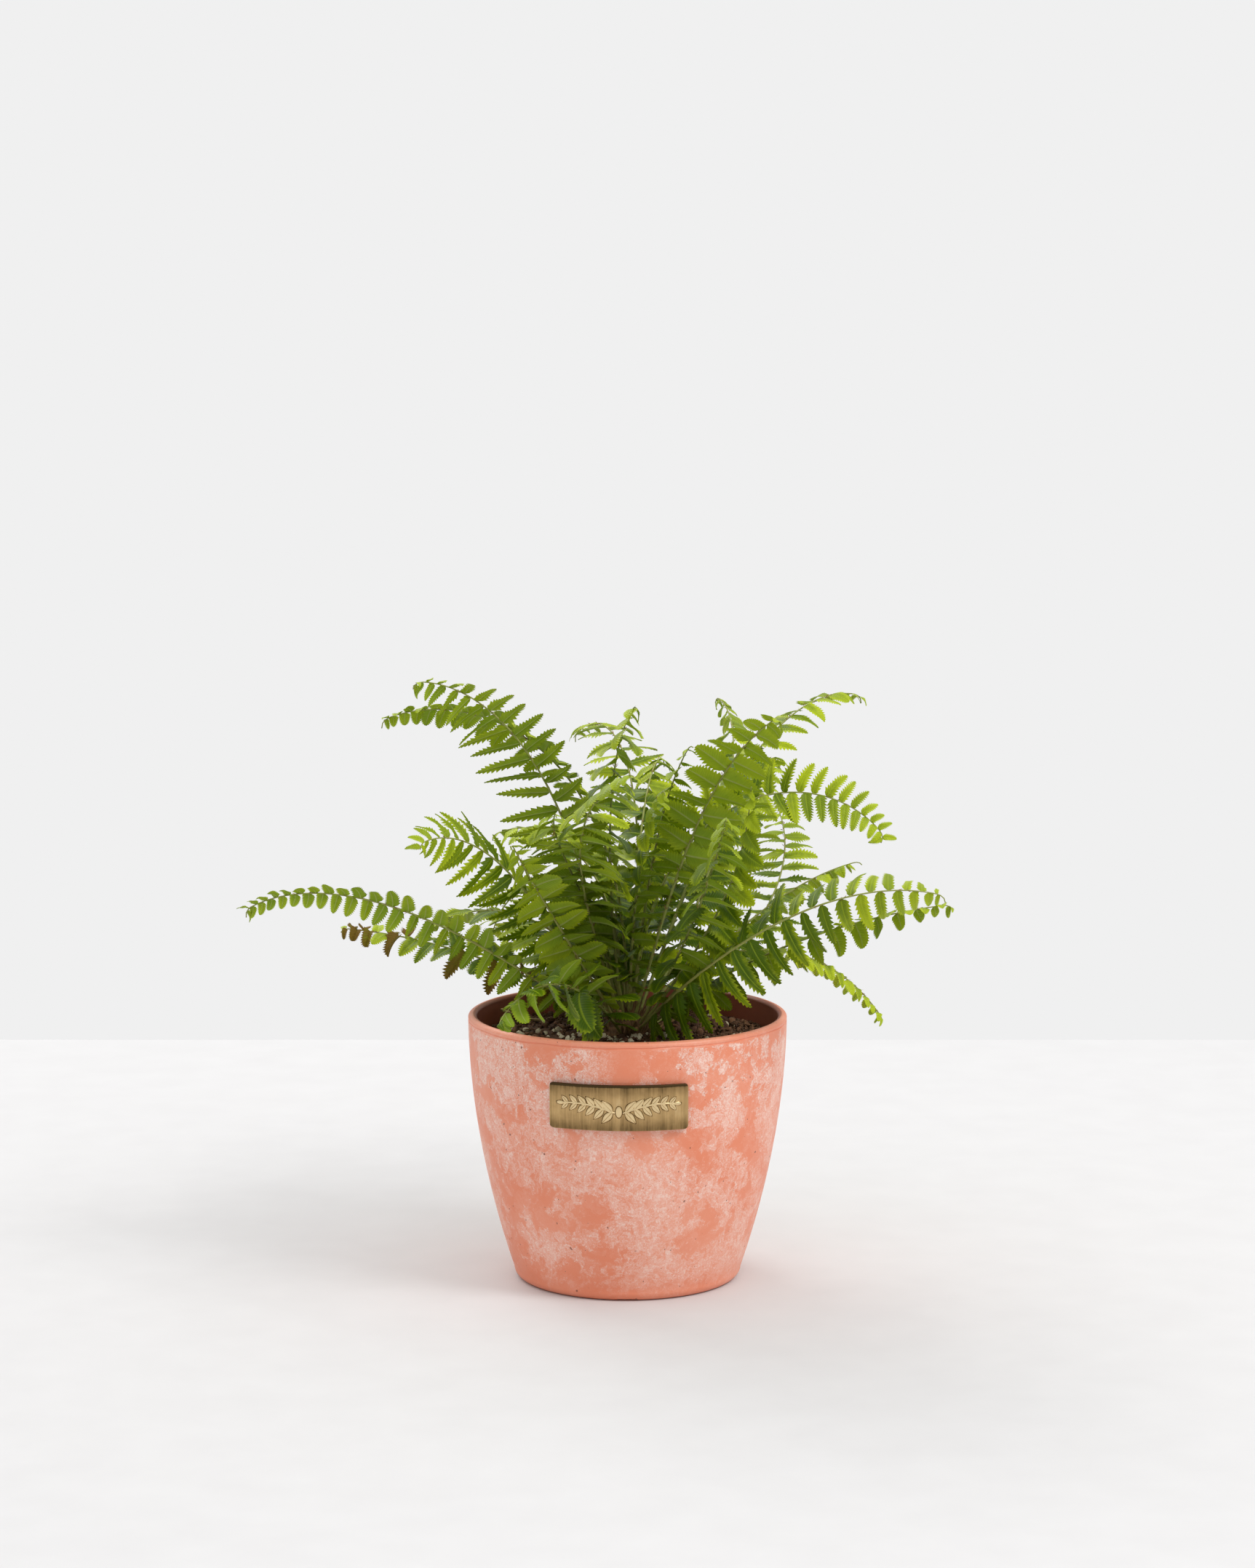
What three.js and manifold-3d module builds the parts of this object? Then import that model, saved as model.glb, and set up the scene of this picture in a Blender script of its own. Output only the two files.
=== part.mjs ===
// A small sword fern growing in a tapered resin pot with a brass plate on its front.
// Millimetres, +Z up. The origin is the middle of the pot's flat underside, and the plate faces -Y.
import * as THREE from 'three';
import { mergeVertices } from 'three/addons/utils/BufferGeometryUtils.js';
import Module from 'manifold-3d';

const wasm = await Module();
wasm.setup();

// ------------------------------------------------------------------ driving dimensions

const SEAT = 0.3; // clearance between two pieces that rest on each other
const TURN_STEPS = 36; // facets round every turned piece

// Pot
const RIM_RADIUS = 65;
const POT_HEIGHT = 109;
const POT_TAPER = 19.8; // how much the wall draws in from rim to underside
const POT_TAPER_POWER = 1.9; // above 1 the wall stays upright near the rim
const POT_WALL = 3.6;
const POT_FLOOR = 3.5;
const LIP_ROUND = 1.4; // height of the rounded top of the wall
const LIP_BAND = 2.2; // distance from the top down to the line under the lip
const LIP_LINE = 0.3; // depth and half height of that line
const FOOT_ROUND = 4; // rounding between wall and underside
const GROOVE_WIDTH = 8; // drain grooves across the underside
const GROOVE_DEPTH = 0.8;
const GROOVE_START = 22; // distance from the axis where a groove begins
const GROOVE_COUNT = 4;
const DRAIN_RADIUS = 3;
const DRAIN_CIRCLE = 27; // distance of the drain holes from the axis

// Plate on the front of the pot and the adhesive pad behind it
const PLATE_WIDTH = 54.6;
const PLATE_HEIGHT = 18.6;
const PLATE_CORNER = 1.6;
const PLATE_THICKNESS = 1.2;
const PLATE_X = -3.4; // the plate sits slightly left of the pot's middle
const PLATE_BELOW_RIM = 25.9; // middle of the plate below the top of the pot
const PAD_THICKNESS = 0.6;
const PAD_MARGIN = 2.5; // how far the pad stays inside the plate's outline

// Soil and crown
const SOIL_BELOW_RIM = 10.5; // soil at the wall below the top of the pot
const SOIL_RISE = 2.5; // how much it mounds up towards the crown
const CROWN_RADIUS = 14;
const CROWN_SINK = 2.5; // middle of the crown's dome below the soil at the wall
const ROOT_DEPTH = 16; // how far the root plug reaches below that
const ROOT_RADIUS = 8; // radius of the root plug's lower end

// Fronds
const STALK_HALF = 1.0; // half thickness of a stalk where it leaves the crown
const STALK_THINNING = 0.5; // how much of that is lost by the tip
const LEAFLET_PITCH = 8.5; // spacing of the leaflets along one side
const LEAFLET_GAP = 0.4; // width left at the notch between leaflets, as a share of their reach
const LEAFLET_RAKE = 0.2; // how far leaflets lean towards the tip, as a share of their reach
const STALK_RINGS = 3; // rings along the part of the stalk that has no leaflets
const TIP_HALF = 1.2; // half width of the last ring

// Dry stalk on the soil
const TWIG_RADIUS = 0.8;

// Each frond's growth. Angles are in degrees, lengths in millimetres:
// heading    direction it leaves the crown in, from +X towards +Y
// sweep      how far it turns from that heading by its tip
// rise       angle above level at the crown
// droop      how much of that angle is lost by the tip
// late       1 droops evenly, more keeps the droop for the tip
// length     along the midrib
// reach      length of its longest leaflets
// roll       turn of the blade about its midrib
// hang       angle of the leaflets below the blade's plane
// bare       share of the length that carries no leaflets
const FRONDS = [
  ['frond_low_left', 219, -60, 35, 70, 3.0, 172, 16, 75, 15, 0.25],
  ['frond_old_left', 180, -10, 39, 36, 0.8, 116, 15, -20, -5, 0.3],
  ['frond_mid_left', 210, 20, 55, 74, 3.4, 136, 24, -70, 20, 0.35],
  ['frond_behind_left', 128, -15, 64, 148, 1.2, 154, 15, 10, -5, 0.3],
  ['frond_high_left', 170, 15, 89, 116, 1.8, 188, 15, 35, -5, 0.35],
  ['frond_upper_left', 180, 40, 76, 78, 2.8, 180, 24, 45, 10, 0.35],
  ['frond_top_back', 76, 45, 64, 104, 2.8, 182, 20, -5, 0, 0.4],
  ['frond_top_middle', 248, 45, 70, 38, 3.0, 158, 20, -15, 40, 0.4],
  ['frond_inner_left', 234, 70, 65, 46, 1.0, 176, 20, 0, 15, 0.35],
  ['frond_inner_low_left', 219, 60, 79, 62, 0.8, 140, 18, 0, 10, 0.35],
  ['frond_front_left', 231, 25, 53, 18, 0.8, 124, 15, 37, 12, 0.3],
  ['frond_tall_right', 305, 0, 66, 42, 2.4, 166, 20, -42, 2, 0.35],
  ['frond_high_right', 30, 15, 66, 86, 2.8, 190, 17, 5, 0, 0.4],
  ['frond_top_right', 38, 70, 52, 50, 3.0, 190, 15, -15, 35, 0.45],
  ['frond_upper_right', 336, 15, 82, 140, 1.8, 170, 21, 62, -20, 0.35],
  ['frond_inner_right', 331, -60, 51, -10, 3.4, 132, 18, 45, 35, 0.35],
  ['frond_hooked_right', 33, 70, 27, 6, 2.8, 174, 18, -5, -5, 0.35],
  ['frond_narrow_right', 27, -25, 42, 30, 2.8, 112, 13, -15, 30, 0.35],
  ['frond_low_right', 300, 65, 37, 56, 3.2, 160, 22, 75, 35, 0.2],
  ['frond_hanging_right', 331, 15, 39, 30, 1.0, 142, 15, -60, 40, 0.3],
  ['frond_behind_right', 28, 0, 55, 112, 0.8, 136, 10, 0, 30, 0.4],
  ['frond_middle', 277, 5, 73, 56, 1.6, 136, 11, 27, 30, 0.35],
  ['frond_front_right', 306, -35, 48, 24, 3.6, 146, 18, 0, 30, 0.35],
  ['frond_back_1', 60, 10, 49, 56, 2.0, 184, 19, 0, 10, 0.3],
  ['frond_back_2', 89, 5, 36, 124, 3.6, 116, 19, 0, 35, 0.3],
  ['frond_back_3', 116, 35, 81, 112, 1.6, 120, 19, -5, 0, 0.3],
  ['frond_back_4', 121, 0, 29, 50, 2.6, 96, 19, -15, -5, 0.3],
  ['frond_back_5', 161, 0, 66, 114, 1.2, 110, 19, 5, -5, 0.3],
  ['frond_back_6', 74, 5, 79, 110, 3.0, 134, 19, 0, 25, 0.35],
  ['frond_back_7', 101, 0, 66, 140, 3.0, 86, 19, 0, 20, 0.35],
  ['frond_small_front', 256, -25, 30, 80, 3.0, 116, 18, 75, 25, 0.3],
  ['frond_small_right', 298, 5, 76, 32, 3.0, 126, 14, -5, 15, 0.3],
];

// Heights that follow from the sizes above
const PLATE_Z = POT_HEIGHT - PLATE_BELOW_RIM;
const SOIL_EDGE = POT_HEIGHT - SOIL_BELOW_RIM;
const CROWN_HEIGHT = SOIL_EDGE - CROWN_SINK;

// ------------------------------------------------------------------ materials

const finish = (color, roughness, metalness = 0) =>
  new THREE.MeshStandardMaterial({ color, roughness, metalness });

const resin = finish(0xcf7a66, 0.5);
const brass = finish(0x8d7140, 0.4, 1);
const foam = finish(0x2b2a28, 0.9);
const peat = finish(0x2e2019, 0.95);
const rootstock = finish(0x5a4227, 0.9);
const leaf = finish(0x4f7d1e, 0.45);
const straw = finish(0x9a7b4f, 0.85);

// ------------------------------------------------------------------ helpers

const rad = THREE.MathUtils.degToRad;

// A closed geometry as a solid that can be joined or cut.
function solidOf(geometry) {
  const corners = geometry.clone();
  corners.deleteAttribute('normal');
  corners.deleteAttribute('uv');
  const merged = mergeVertices(corners, 1e-4);
  return new wasm.Manifold(new wasm.Mesh({
    numProp: 3,
    vertProperties: merged.attributes.position.array,
    triVerts: new Uint32Array(merged.index.array),
  }));
}

function geometryOf(solid) {
  const { vertProperties, triVerts } = solid.getMesh();
  const geometry = new THREE.BufferGeometry();
  geometry.setAttribute('position', new THREE.BufferAttribute(vertProperties, 3));
  geometry.setIndex(new THREE.BufferAttribute(triVerts, 1));
  geometry.computeVertexNormals();
  return geometry;
}

function node(name, geometry, material) {
  const mesh = new THREE.Mesh(geometry, material);
  mesh.name = name;
  return mesh;
}

// Turns a profile of [radius, height] points round the Z axis. The profile runs
// from the bottom of the axis, up the outside, and back to the axis or to its start.
function turned(profile) {
  const points = profile.map(([radius, height]) => new THREE.Vector2(radius, height));
  return new THREE.LatheGeometry(points, TURN_STEPS).rotateX(Math.PI / 2);
}

// Heights from low to high in equal steps, both ends included.
function heights(low, high, steps) {
  return Array.from({ length: steps + 1 }, (_, i) => low + ((high - low) * i) / steps);
}

// ------------------------------------------------------------------ pot

const wallSpan = (z) => POT_TAPER * (1 - z / POT_HEIGHT) ** POT_TAPER_POWER;
const outerRadius = (z) => RIM_RADIUS - wallSpan(z);
const innerRadius = (z) => outerRadius(z) - POT_WALL;

function potProfile() {
  const footRadius = outerRadius(FOOT_ROUND) - FOOT_ROUND;
  const foot = heights(0, 90, 3).map((a) => [
    footRadius + FOOT_ROUND * Math.sin(rad(a)),
    FOOT_ROUND * (1 - Math.cos(rad(a))),
  ]);
  const lineHeight = POT_HEIGHT - LIP_BAND;
  const lineLow = lineHeight - LIP_LINE;
  const lineHigh = lineHeight + LIP_LINE;
  const wall = heights(FOOT_ROUND, lineLow, 9).slice(1).map((z) => [outerRadius(z), z]);
  const line = [
    [outerRadius(lineHeight) - LIP_LINE, lineHeight],
    [outerRadius(lineHigh), lineHigh],
  ];
  const lipMiddle = RIM_RADIUS - POT_WALL / 2;
  const lip = heights(0, 180, 5).map((a) => [
    lipMiddle + (POT_WALL / 2) * Math.cos(rad(a)),
    POT_HEIGHT - LIP_ROUND + LIP_ROUND * Math.sin(rad(a)),
  ]);
  const innerFoot = POT_FLOOR + FOOT_ROUND;
  const inside = heights(innerFoot, POT_HEIGHT - LIP_ROUND, 6).slice(0, -1).reverse()
    .map((z) => [innerRadius(z), z]);
  const bowl = heights(0, 90, 2).slice(1).map((a) => [
    innerRadius(innerFoot) - FOOT_ROUND * (1 - Math.cos(rad(a))),
    innerFoot - FOOT_ROUND * Math.sin(rad(a)),
  ]);
  return [[0, 0], ...foot, ...wall, ...line, ...lip, ...inside, ...bowl, [0, POT_FLOOR]];
}

function potGeometry() {
  let body = solidOf(turned(potProfile()));
  const grooveLength = RIM_RADIUS - GROOVE_START;
  for (let i = 0; i < GROOVE_COUNT; i += 1) {
    const heading = (i - 1) * ((2 * Math.PI) / GROOVE_COUNT);
    const groove = new THREE.BoxGeometry(grooveLength, GROOVE_WIDTH, 2 * GROOVE_DEPTH)
      .translate(GROOVE_START + grooveLength / 2, 0, 0)
      .rotateZ(heading);
    const hole = new THREE.CylinderGeometry(DRAIN_RADIUS, DRAIN_RADIUS, 3 * POT_FLOOR, 16)
      .rotateX(Math.PI / 2)
      .translate(DRAIN_CIRCLE, 0, 0)
      .rotateZ(heading);
    body = body.subtract(solidOf(groove)).subtract(solidOf(hole));
  }
  return geometryOf(body);
}

// ------------------------------------------------------------------ plate and pad

// A rounded rectangle cut out of a shell that lies from nearSide to farSide off the pot's wall.
function wallPatch(width, height, corner, nearSide, farSide) {
  const reach = height / 2 + 1;
  const rows = heights(PLATE_Z - reach, PLATE_Z + reach, 4);
  const shell = turned([
    ...rows.map((z) => [outerRadius(z) + farSide, z]),
    ...[...rows].reverse().map((z) => [outerRadius(z) + nearSide, z]),
    [outerRadius(rows[0]) + farSide, rows[0]],
  ]);
  const right = width / 2;
  const top = height / 2;
  const outline = new THREE.Shape()
    .moveTo(-right + corner, -top)
    .lineTo(right - corner, -top)
    .absarc(right - corner, -top + corner, corner, -Math.PI / 2, 0)
    .lineTo(right, top - corner)
    .absarc(right - corner, top - corner, corner, 0, Math.PI / 2)
    .lineTo(-right + corner, top)
    .absarc(-right + corner, top - corner, corner, Math.PI / 2, Math.PI)
    .lineTo(-right, -top + corner)
    .absarc(-right + corner, -top + corner, corner, Math.PI, 1.5 * Math.PI);
  const block = new THREE.ExtrudeGeometry(outline, {
    depth: RIM_RADIUS + farSide,
    bevelEnabled: false,
    curveSegments: 4,
  })
    .rotateX(Math.PI / 2)
    .translate(PLATE_X, 0, PLATE_Z);
  return geometryOf(solidOf(shell).intersect(solidOf(block)));
}

function plateGeometry() {
  const back = SEAT + PAD_THICKNESS + SEAT;
  return wallPatch(PLATE_WIDTH, PLATE_HEIGHT, PLATE_CORNER, back, back + PLATE_THICKNESS);
}

function padGeometry() {
  const width = PLATE_WIDTH - 2 * PAD_MARGIN;
  const height = PLATE_HEIGHT - 2 * PAD_MARGIN;
  return wallPatch(width, height, PLATE_CORNER, SEAT, SEAT + PAD_THICKNESS);
}

// ------------------------------------------------------------------ soil and crown

const soilHeight = (radius) =>
  SOIL_EDGE + SOIL_RISE * (1 - (radius / innerRadius(SOIL_EDGE)) ** 2);

// The crown with its root plug, grown outwards by a clearance to make its socket in the soil.
function crownProfile(clearance) {
  const radius = CROWN_RADIUS + clearance;
  const foot = CROWN_HEIGHT - ROOT_DEPTH - clearance;
  const dome = heights(-30, 90, 6).map((a) => [
    radius * Math.cos(rad(a)),
    CROWN_HEIGHT + radius * Math.sin(rad(a)),
  ]);
  return [[0, foot], [ROOT_RADIUS + clearance, foot], ...dome.slice(0, -1), [0, CROWN_HEIGHT + radius]];
}

function soilGeometry() {
  const bottom = POT_FLOOR + SEAT;
  const shoulder = POT_FLOOR + FOOT_ROUND;
  const footRadius = innerRadius(shoulder) - FOOT_ROUND;
  const side = heights(shoulder, SOIL_EDGE, 5).map((z) => [innerRadius(z) - SEAT, z]);
  const top = heights(0.25, 0.75, 2).map((inward) => {
    const radius = innerRadius(SOIL_EDGE) * (1 - inward);
    return [radius, soilHeight(radius)];
  });
  const plug = [[0, bottom], [footRadius - SEAT, bottom], ...side, ...top, [0, soilHeight(0)]];
  return geometryOf(solidOf(turned(plug)).subtract(solidOf(turned(crownProfile(SEAT)))));
}

// ------------------------------------------------------------------ fronds

const RIB_STEPS = 400; // steps in which a midrib's course is summed up
const ROLL_BY = 0.4; // share of the length by which the blade has its full roll

// Heading and slope of a midrib at a share of its length.
function courseAt(frond, share) {
  const slope = rad(frond.rise - frond.droop * share ** frond.late);
  const heading = rad(frond.heading + frond.sweep * share);
  return new THREE.Vector3(
    Math.cos(slope) * Math.cos(heading),
    Math.cos(slope) * Math.sin(heading),
    Math.sin(slope),
  );
}

// The midrib as points, from just off the crown's dome to the tip.
function midrib(frond) {
  const step = frond.length / RIB_STEPS;
  const place = courseAt(frond, 0).multiplyScalar(CROWN_RADIUS + SEAT);
  place.z += CROWN_HEIGHT;
  const points = [place.clone()];
  for (let i = 0; i < RIB_STEPS; i += 1) {
    place.addScaledVector(courseAt(frond, (i + 0.5) / RIB_STEPS), step);
    points.push(place.clone());
  }
  return points;
}

// How far leaflets reach at a share of the leafy length: quickly wide, then drawn in to the tip.
const reachAt = (share) =>
  Math.max(0.06, Math.min(1, 0.45 + 2.2 * share) * Math.max(0, 1 - share ** 2.6) ** 0.75);

// Rings along a frond: bare ones on the stalk, then two for each leaflet, so that the
// leaflets of the two sides alternate.
function frondRings(frond) {
  const leafy = 1 - frond.bare;
  const leaflets = Math.max(6, Math.round((frond.length * leafy) / LEAFLET_PITCH));
  const rings = [];
  for (let i = 0; i < STALK_RINGS; i += 1) {
    const share = (frond.bare * i) / STALK_RINGS;
    const half = STALK_HALF - STALK_THINNING * share;
    rings.push({ share, left: half, right: half, rake: 0 });
  }
  for (let i = 0; i <= 2 * leaflets; i += 1) {
    const along = i / (2 * leaflets);
    const last = i === 2 * leaflets;
    const full = last ? TIP_HALF : frond.reach * reachAt(along);
    const notch = last ? TIP_HALF : full * LEAFLET_GAP;
    const odd = i % 2 === 1;
    rings.push({
      share: frond.bare + leafy * along,
      left: Math.max(STALK_HALF, odd ? full : notch),
      right: Math.max(STALK_HALF, odd ? notch : full),
      rake: LEAFLET_RAKE,
    });
  }
  return rings;
}

// A four-sided cylinder bent along the midrib. Two of its edges follow the top and the
// underside of the midrib, and the other two follow the leaflets' outline.
function frondGeometry(frond) {
  const points = midrib(frond);
  const rings = frondRings(frond);
  const geometry = new THREE.CylinderGeometry(1, 1, 1, 4, rings.length - 1);
  const corners = geometry.attributes.position;
  for (let i = 0; i < corners.count; i += 1) {
    const ring = rings[Math.round((0.5 - corners.getY(i)) * (rings.length - 1))];
    const across = Math.round(corners.getX(i));
    const over = Math.round(corners.getZ(i));
    const along = courseAt(frond, ring.share);
    const heading = rad(frond.heading + frond.sweep * ring.share);
    const side = new THREE.Vector3(-Math.sin(heading), Math.cos(heading), 0);
    const roll = rad(frond.roll) * Math.min(1, ring.share / ROLL_BY);
    side.applyAxisAngle(along, roll);
    const up = new THREE.Vector3().crossVectors(along, side);
    const reach = Math.abs(across) * (across > 0 ? ring.left : ring.right);
    const place = points[Math.round(ring.share * RIB_STEPS)].clone()
      .addScaledVector(side, Math.sign(across) * reach * Math.cos(rad(frond.hang)))
      .addScaledVector(up, over * (STALK_HALF - STALK_THINNING * ring.share))
      .addScaledVector(up, -reach * Math.sin(rad(frond.hang)))
      .addScaledVector(along, reach * ring.rake);
    corners.setXYZ(i, place.x, place.y, place.z);
  }
  geometry.computeVertexNormals();
  return geometry;
}

// ------------------------------------------------------------------ dry stalk

// A bent dry stalk that leans from the soil up against the back left of the wall.
function twigGeometry() {
  const wallEnd = innerRadius(POT_HEIGHT) - SEAT - 2 * TWIG_RADIUS;
  const along = (radius, heading, lift) => {
    const height = soilHeight(radius) + SEAT + TWIG_RADIUS + lift;
    return new THREE.Vector3(
      radius * Math.cos(rad(heading)),
      radius * Math.sin(rad(heading)),
      height,
    );
  };
  const course = new THREE.CatmullRomCurve3([
    along(wallEnd - 16, 146, 0),
    along(wallEnd - 10, 149, 0.8),
    along(wallEnd - 4, 151, 3.2),
    along(wallEnd, 152, 5),
  ]);
  const section = new THREE.Shape().absarc(0, 0, TWIG_RADIUS, 0, 2 * Math.PI);
  return new THREE.ExtrudeGeometry(section, {
    steps: 10,
    curveSegments: 8,
    extrudePath: course,
    bevelEnabled: false,
  });
}

// ------------------------------------------------------------------ the potted fern

const fern = new THREE.Group();
fern.add(
  node('pot', potGeometry(), resin),
  node('name_plate', plateGeometry(), brass),
  node('plate_pad', padGeometry(), foam),
  node('soil', soilGeometry(), peat),
  node('crown', turned(crownProfile(0)), rootstock),
  node('dry_stalk', twigGeometry(), straw),
);
for (const [name, heading, sweep, rise, droop, late, length, reach, roll, hang, bare] of FRONDS) {
  const frond = { heading, sweep, rise, droop, late, length, reach, roll, hang, bare };
  fern.add(node(name, frondGeometry(frond), leaf));
}

export default fern;
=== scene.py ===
"""A small sword fern growing in a tapered resin pot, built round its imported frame."""

import math

import bpy
import numpy as np
from bpy.props import FloatProperty, FloatVectorProperty, IntProperty, PointerProperty
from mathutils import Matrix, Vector, noise


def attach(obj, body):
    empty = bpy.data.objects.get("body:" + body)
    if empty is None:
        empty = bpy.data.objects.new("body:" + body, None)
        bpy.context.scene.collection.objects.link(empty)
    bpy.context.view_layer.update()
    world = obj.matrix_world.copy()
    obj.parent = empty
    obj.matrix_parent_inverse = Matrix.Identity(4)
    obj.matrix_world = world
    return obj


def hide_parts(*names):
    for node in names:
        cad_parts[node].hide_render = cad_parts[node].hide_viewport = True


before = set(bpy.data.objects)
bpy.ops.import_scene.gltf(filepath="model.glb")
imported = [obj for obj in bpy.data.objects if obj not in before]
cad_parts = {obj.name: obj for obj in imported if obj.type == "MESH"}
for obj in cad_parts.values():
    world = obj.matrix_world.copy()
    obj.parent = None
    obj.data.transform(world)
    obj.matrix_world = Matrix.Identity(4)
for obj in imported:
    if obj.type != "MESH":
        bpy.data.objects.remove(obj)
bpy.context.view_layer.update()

bl_info = {
    "name": "Potted fern",
    "version": (1, 0, 0),
    "blender": (4, 5, 0),
    "location": "View3D > Sidebar > Potted fern",
    "description": "Builds a small sword fern in a resin pot",
    "category": "Add Mesh",
}

BODY = "root"
MM = 0.001


# ---------------------------------------------------------------- shader maths


def srgb(text):
    """A colour such as "cf7a66" as the linear colour that sockets take."""
    parts = [int(text[i:i + 2], 16) / 255 for i in (0, 2, 4)]
    linear = [c / 12.92 if c <= 0.04045 else ((c + 0.055) / 1.055) ** 2.4 for c in parts]
    return (*linear, 1.0)


def opaque(colour):
    """A colour property as a socket's four numbers."""
    return (*colour[:3], 1.0)


class Value:
    """A node's output. Arithmetic on it adds Math nodes."""

    def __init__(self, finish, socket):
        self.finish = finish
        self.socket = socket

    def math(self, operation, *inputs):
        return self.finish.add("ShaderNodeMath", {"operation": operation}, dict(enumerate(inputs)))

    def __add__(self, other):
        return self.math("ADD", self, other)

    def __radd__(self, other):
        return self.math("ADD", other, self)

    def __sub__(self, other):
        return self.math("SUBTRACT", self, other)

    def __rsub__(self, other):
        return self.math("SUBTRACT", other, self)

    def __mul__(self, other):
        return self.math("MULTIPLY", self, other)

    def __rmul__(self, other):
        return self.math("MULTIPLY", other, self)

    def __truediv__(self, other):
        return self.math("DIVIDE", self, other)

    def __rtruediv__(self, other):
        return self.math("DIVIDE", other, self)

    def __pow__(self, other):
        return self.math("POWER", self, other)

    def __abs__(self):
        return self.math("ABSOLUTE", self)

    def sine(self):
        return self.math("SINE", self)

    def between(self, low, high):
        """0 at low and 1 at high, eased, and held outside them."""
        return self.finish.add(
            "ShaderNodeMapRange",
            {"interpolation_type": "SMOOTHSTEP"},
            {"Value": self, "From Min": low, "From Max": high},
        )


class Finish:
    """A material and the means to add nodes to it."""

    def __init__(self, name):
        self.material = bpy.data.materials.new(name)
        self.material.use_nodes = True
        self.tree = self.material.node_tree
        self.tree.nodes.clear()

    def add(self, kind, settings=None, inputs=None, output=0):
        """Adds a node: its settings first, then its sockets' values or links."""
        node = self.tree.nodes.new(kind)
        for key, setting in (settings or {}).items():
            if key == "stops":
                ramp = node.color_ramp
                while len(ramp.elements) < len(setting):
                    ramp.elements.new(0.5)
                for element, (position, colour) in zip(ramp.elements, setting):
                    element.position = position
                    element.color = colour
            else:
                setattr(node, key, setting)
        for key, value in (inputs or {}).items():
            if isinstance(value, Value):
                self.tree.links.new(value.socket, node.inputs[key])
            else:
                node.inputs[key].default_value = value
        return Value(self, node.outputs[output]) if node.outputs else None

    def place(self, stretch=(1, 1, 1)):
        """Where a point lies on the object, in metres, stretched along the axes."""
        here = self.add("ShaderNodeTexCoord", output=3)
        return self.vector("MULTIPLY", here, stretch)

    def vector(self, operation, *inputs):
        return self.add("ShaderNodeVectorMath", {"operation": operation}, dict(enumerate(inputs)))

    def attribute(self, name):
        return self.add("ShaderNodeAttribute", {"attribute_name": name}, output=2)

    def axis(self, where, number):
        """One coordinate of a place: 0 for X, 1 for Y, 2 for Z."""
        return self.add("ShaderNodeSeparateXYZ", inputs={0: where}, output=number)

    def noise(self, where, scale, detail=4, roughness=0.5, output=0):
        inputs = {"Vector": where, "Scale": scale, "Detail": detail, "Roughness": roughness}
        return self.add("ShaderNodeTexNoise", inputs=inputs, output=output)

    def cells(self, where, scale):
        return self.add("ShaderNodeTexVoronoi", inputs={"Vector": where, "Scale": scale})

    def mix(self, share, first, second):
        """Two colours, from the first at share 0 to the second at share 1."""
        return self.add("ShaderNodeMix", {"data_type": "RGBA"}, {0: share, 6: first, 7: second}, 2)

    def bump(self, height, distance):
        return self.add("ShaderNodeBump", inputs={"Height": height, "Distance": distance})

    def end(self, inputs, see_through=None):
        """The Principled shader, with a share of light let through if see_through is (share, colour)."""
        surface = self.add("ShaderNodeBsdfPrincipled", inputs=inputs)
        if see_through:
            share, colour = see_through
            back = self.add("ShaderNodeBsdfTranslucent", inputs={"Color": colour})
            surface = self.add("ShaderNodeMixShader", inputs={0: share, 1: surface, 2: back})
        self.add("ShaderNodeOutputMaterial", inputs={"Surface": surface})
        return self.material


# ---------------------------------------------------------------- meshes


class Shape:
    """Points, faces and numbers on the points, gathered before they become one mesh."""

    def __init__(self):
        self.points = []
        self.faces = []
        self.finishes = []
        self.numbers = {}
        self.count = 0

    def add(self, points, faces, finish=0, **numbers):
        """Adds points (n, 3) in millimetres and a list of face arrays that count from 0."""
        points = np.asarray(points, float).reshape(-1, 3)
        for name in numbers:
            self.numbers.setdefault(name, [np.zeros(self.count)] if self.count else [])
        for name, stored in self.numbers.items():
            value = numbers.get(name, 0.0)
            stored.append(np.broadcast_to(np.asarray(value, float), (len(points),)))
        for corners in faces:
            corners = np.asarray(corners, np.int64)
            if len(corners):
                self.faces.append(corners + self.count)
                self.finishes.append(np.full(len(corners), finish))
        self.points.append(points)
        self.count += len(points)

    def build(self, name, materials, nodes, sharp=None):
        """Makes the piece, puts it in the body and hides the CAD nodes that it stands for."""
        piece = self.loose(name, materials, sharp)
        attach(piece, BODY)
        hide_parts(*nodes)
        return piece

    def loose(self, name, materials, sharp=None):
        """Makes the object alone. Edges over sharp degrees stay sharp, and 0 leaves it flat shaded."""
        points = np.concatenate(self.points) * MM
        sizes = np.concatenate([np.full(len(f), f.shape[1]) for f in self.faces])
        corners = np.concatenate([f.ravel() for f in self.faces])
        mesh = bpy.data.meshes.new(name)
        mesh.vertices.add(len(points))
        mesh.vertices.foreach_set("co", points.astype(np.float32).ravel())
        mesh.loops.add(len(corners))
        mesh.loops.foreach_set("vertex_index", corners.astype(np.int32))
        mesh.polygons.add(len(sizes))
        starts = np.concatenate([[0], np.cumsum(sizes)[:-1]])
        mesh.polygons.foreach_set("loop_start", starts.astype(np.int32))
        mesh.polygons.foreach_set("material_index", np.concatenate(self.finishes).astype(np.int32))
        for material in materials:
            mesh.materials.append(material)
        mesh.update(calc_edges=True)
        mesh.validate()
        for key, values in self.numbers.items():
            layer = mesh.attributes.new(key, "FLOAT", "POINT")
            layer.data.foreach_set("value", np.concatenate(values).astype(np.float32))
        if sharp is None:
            mesh.shade_smooth()
        elif sharp > 0:
            mesh.shade_smooth()
            mesh.set_sharp_from_angle(angle=math.radians(sharp))
        piece = bpy.data.objects.new(name, mesh)
        bpy.context.scene.collection.objects.link(piece)
        return piece


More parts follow.
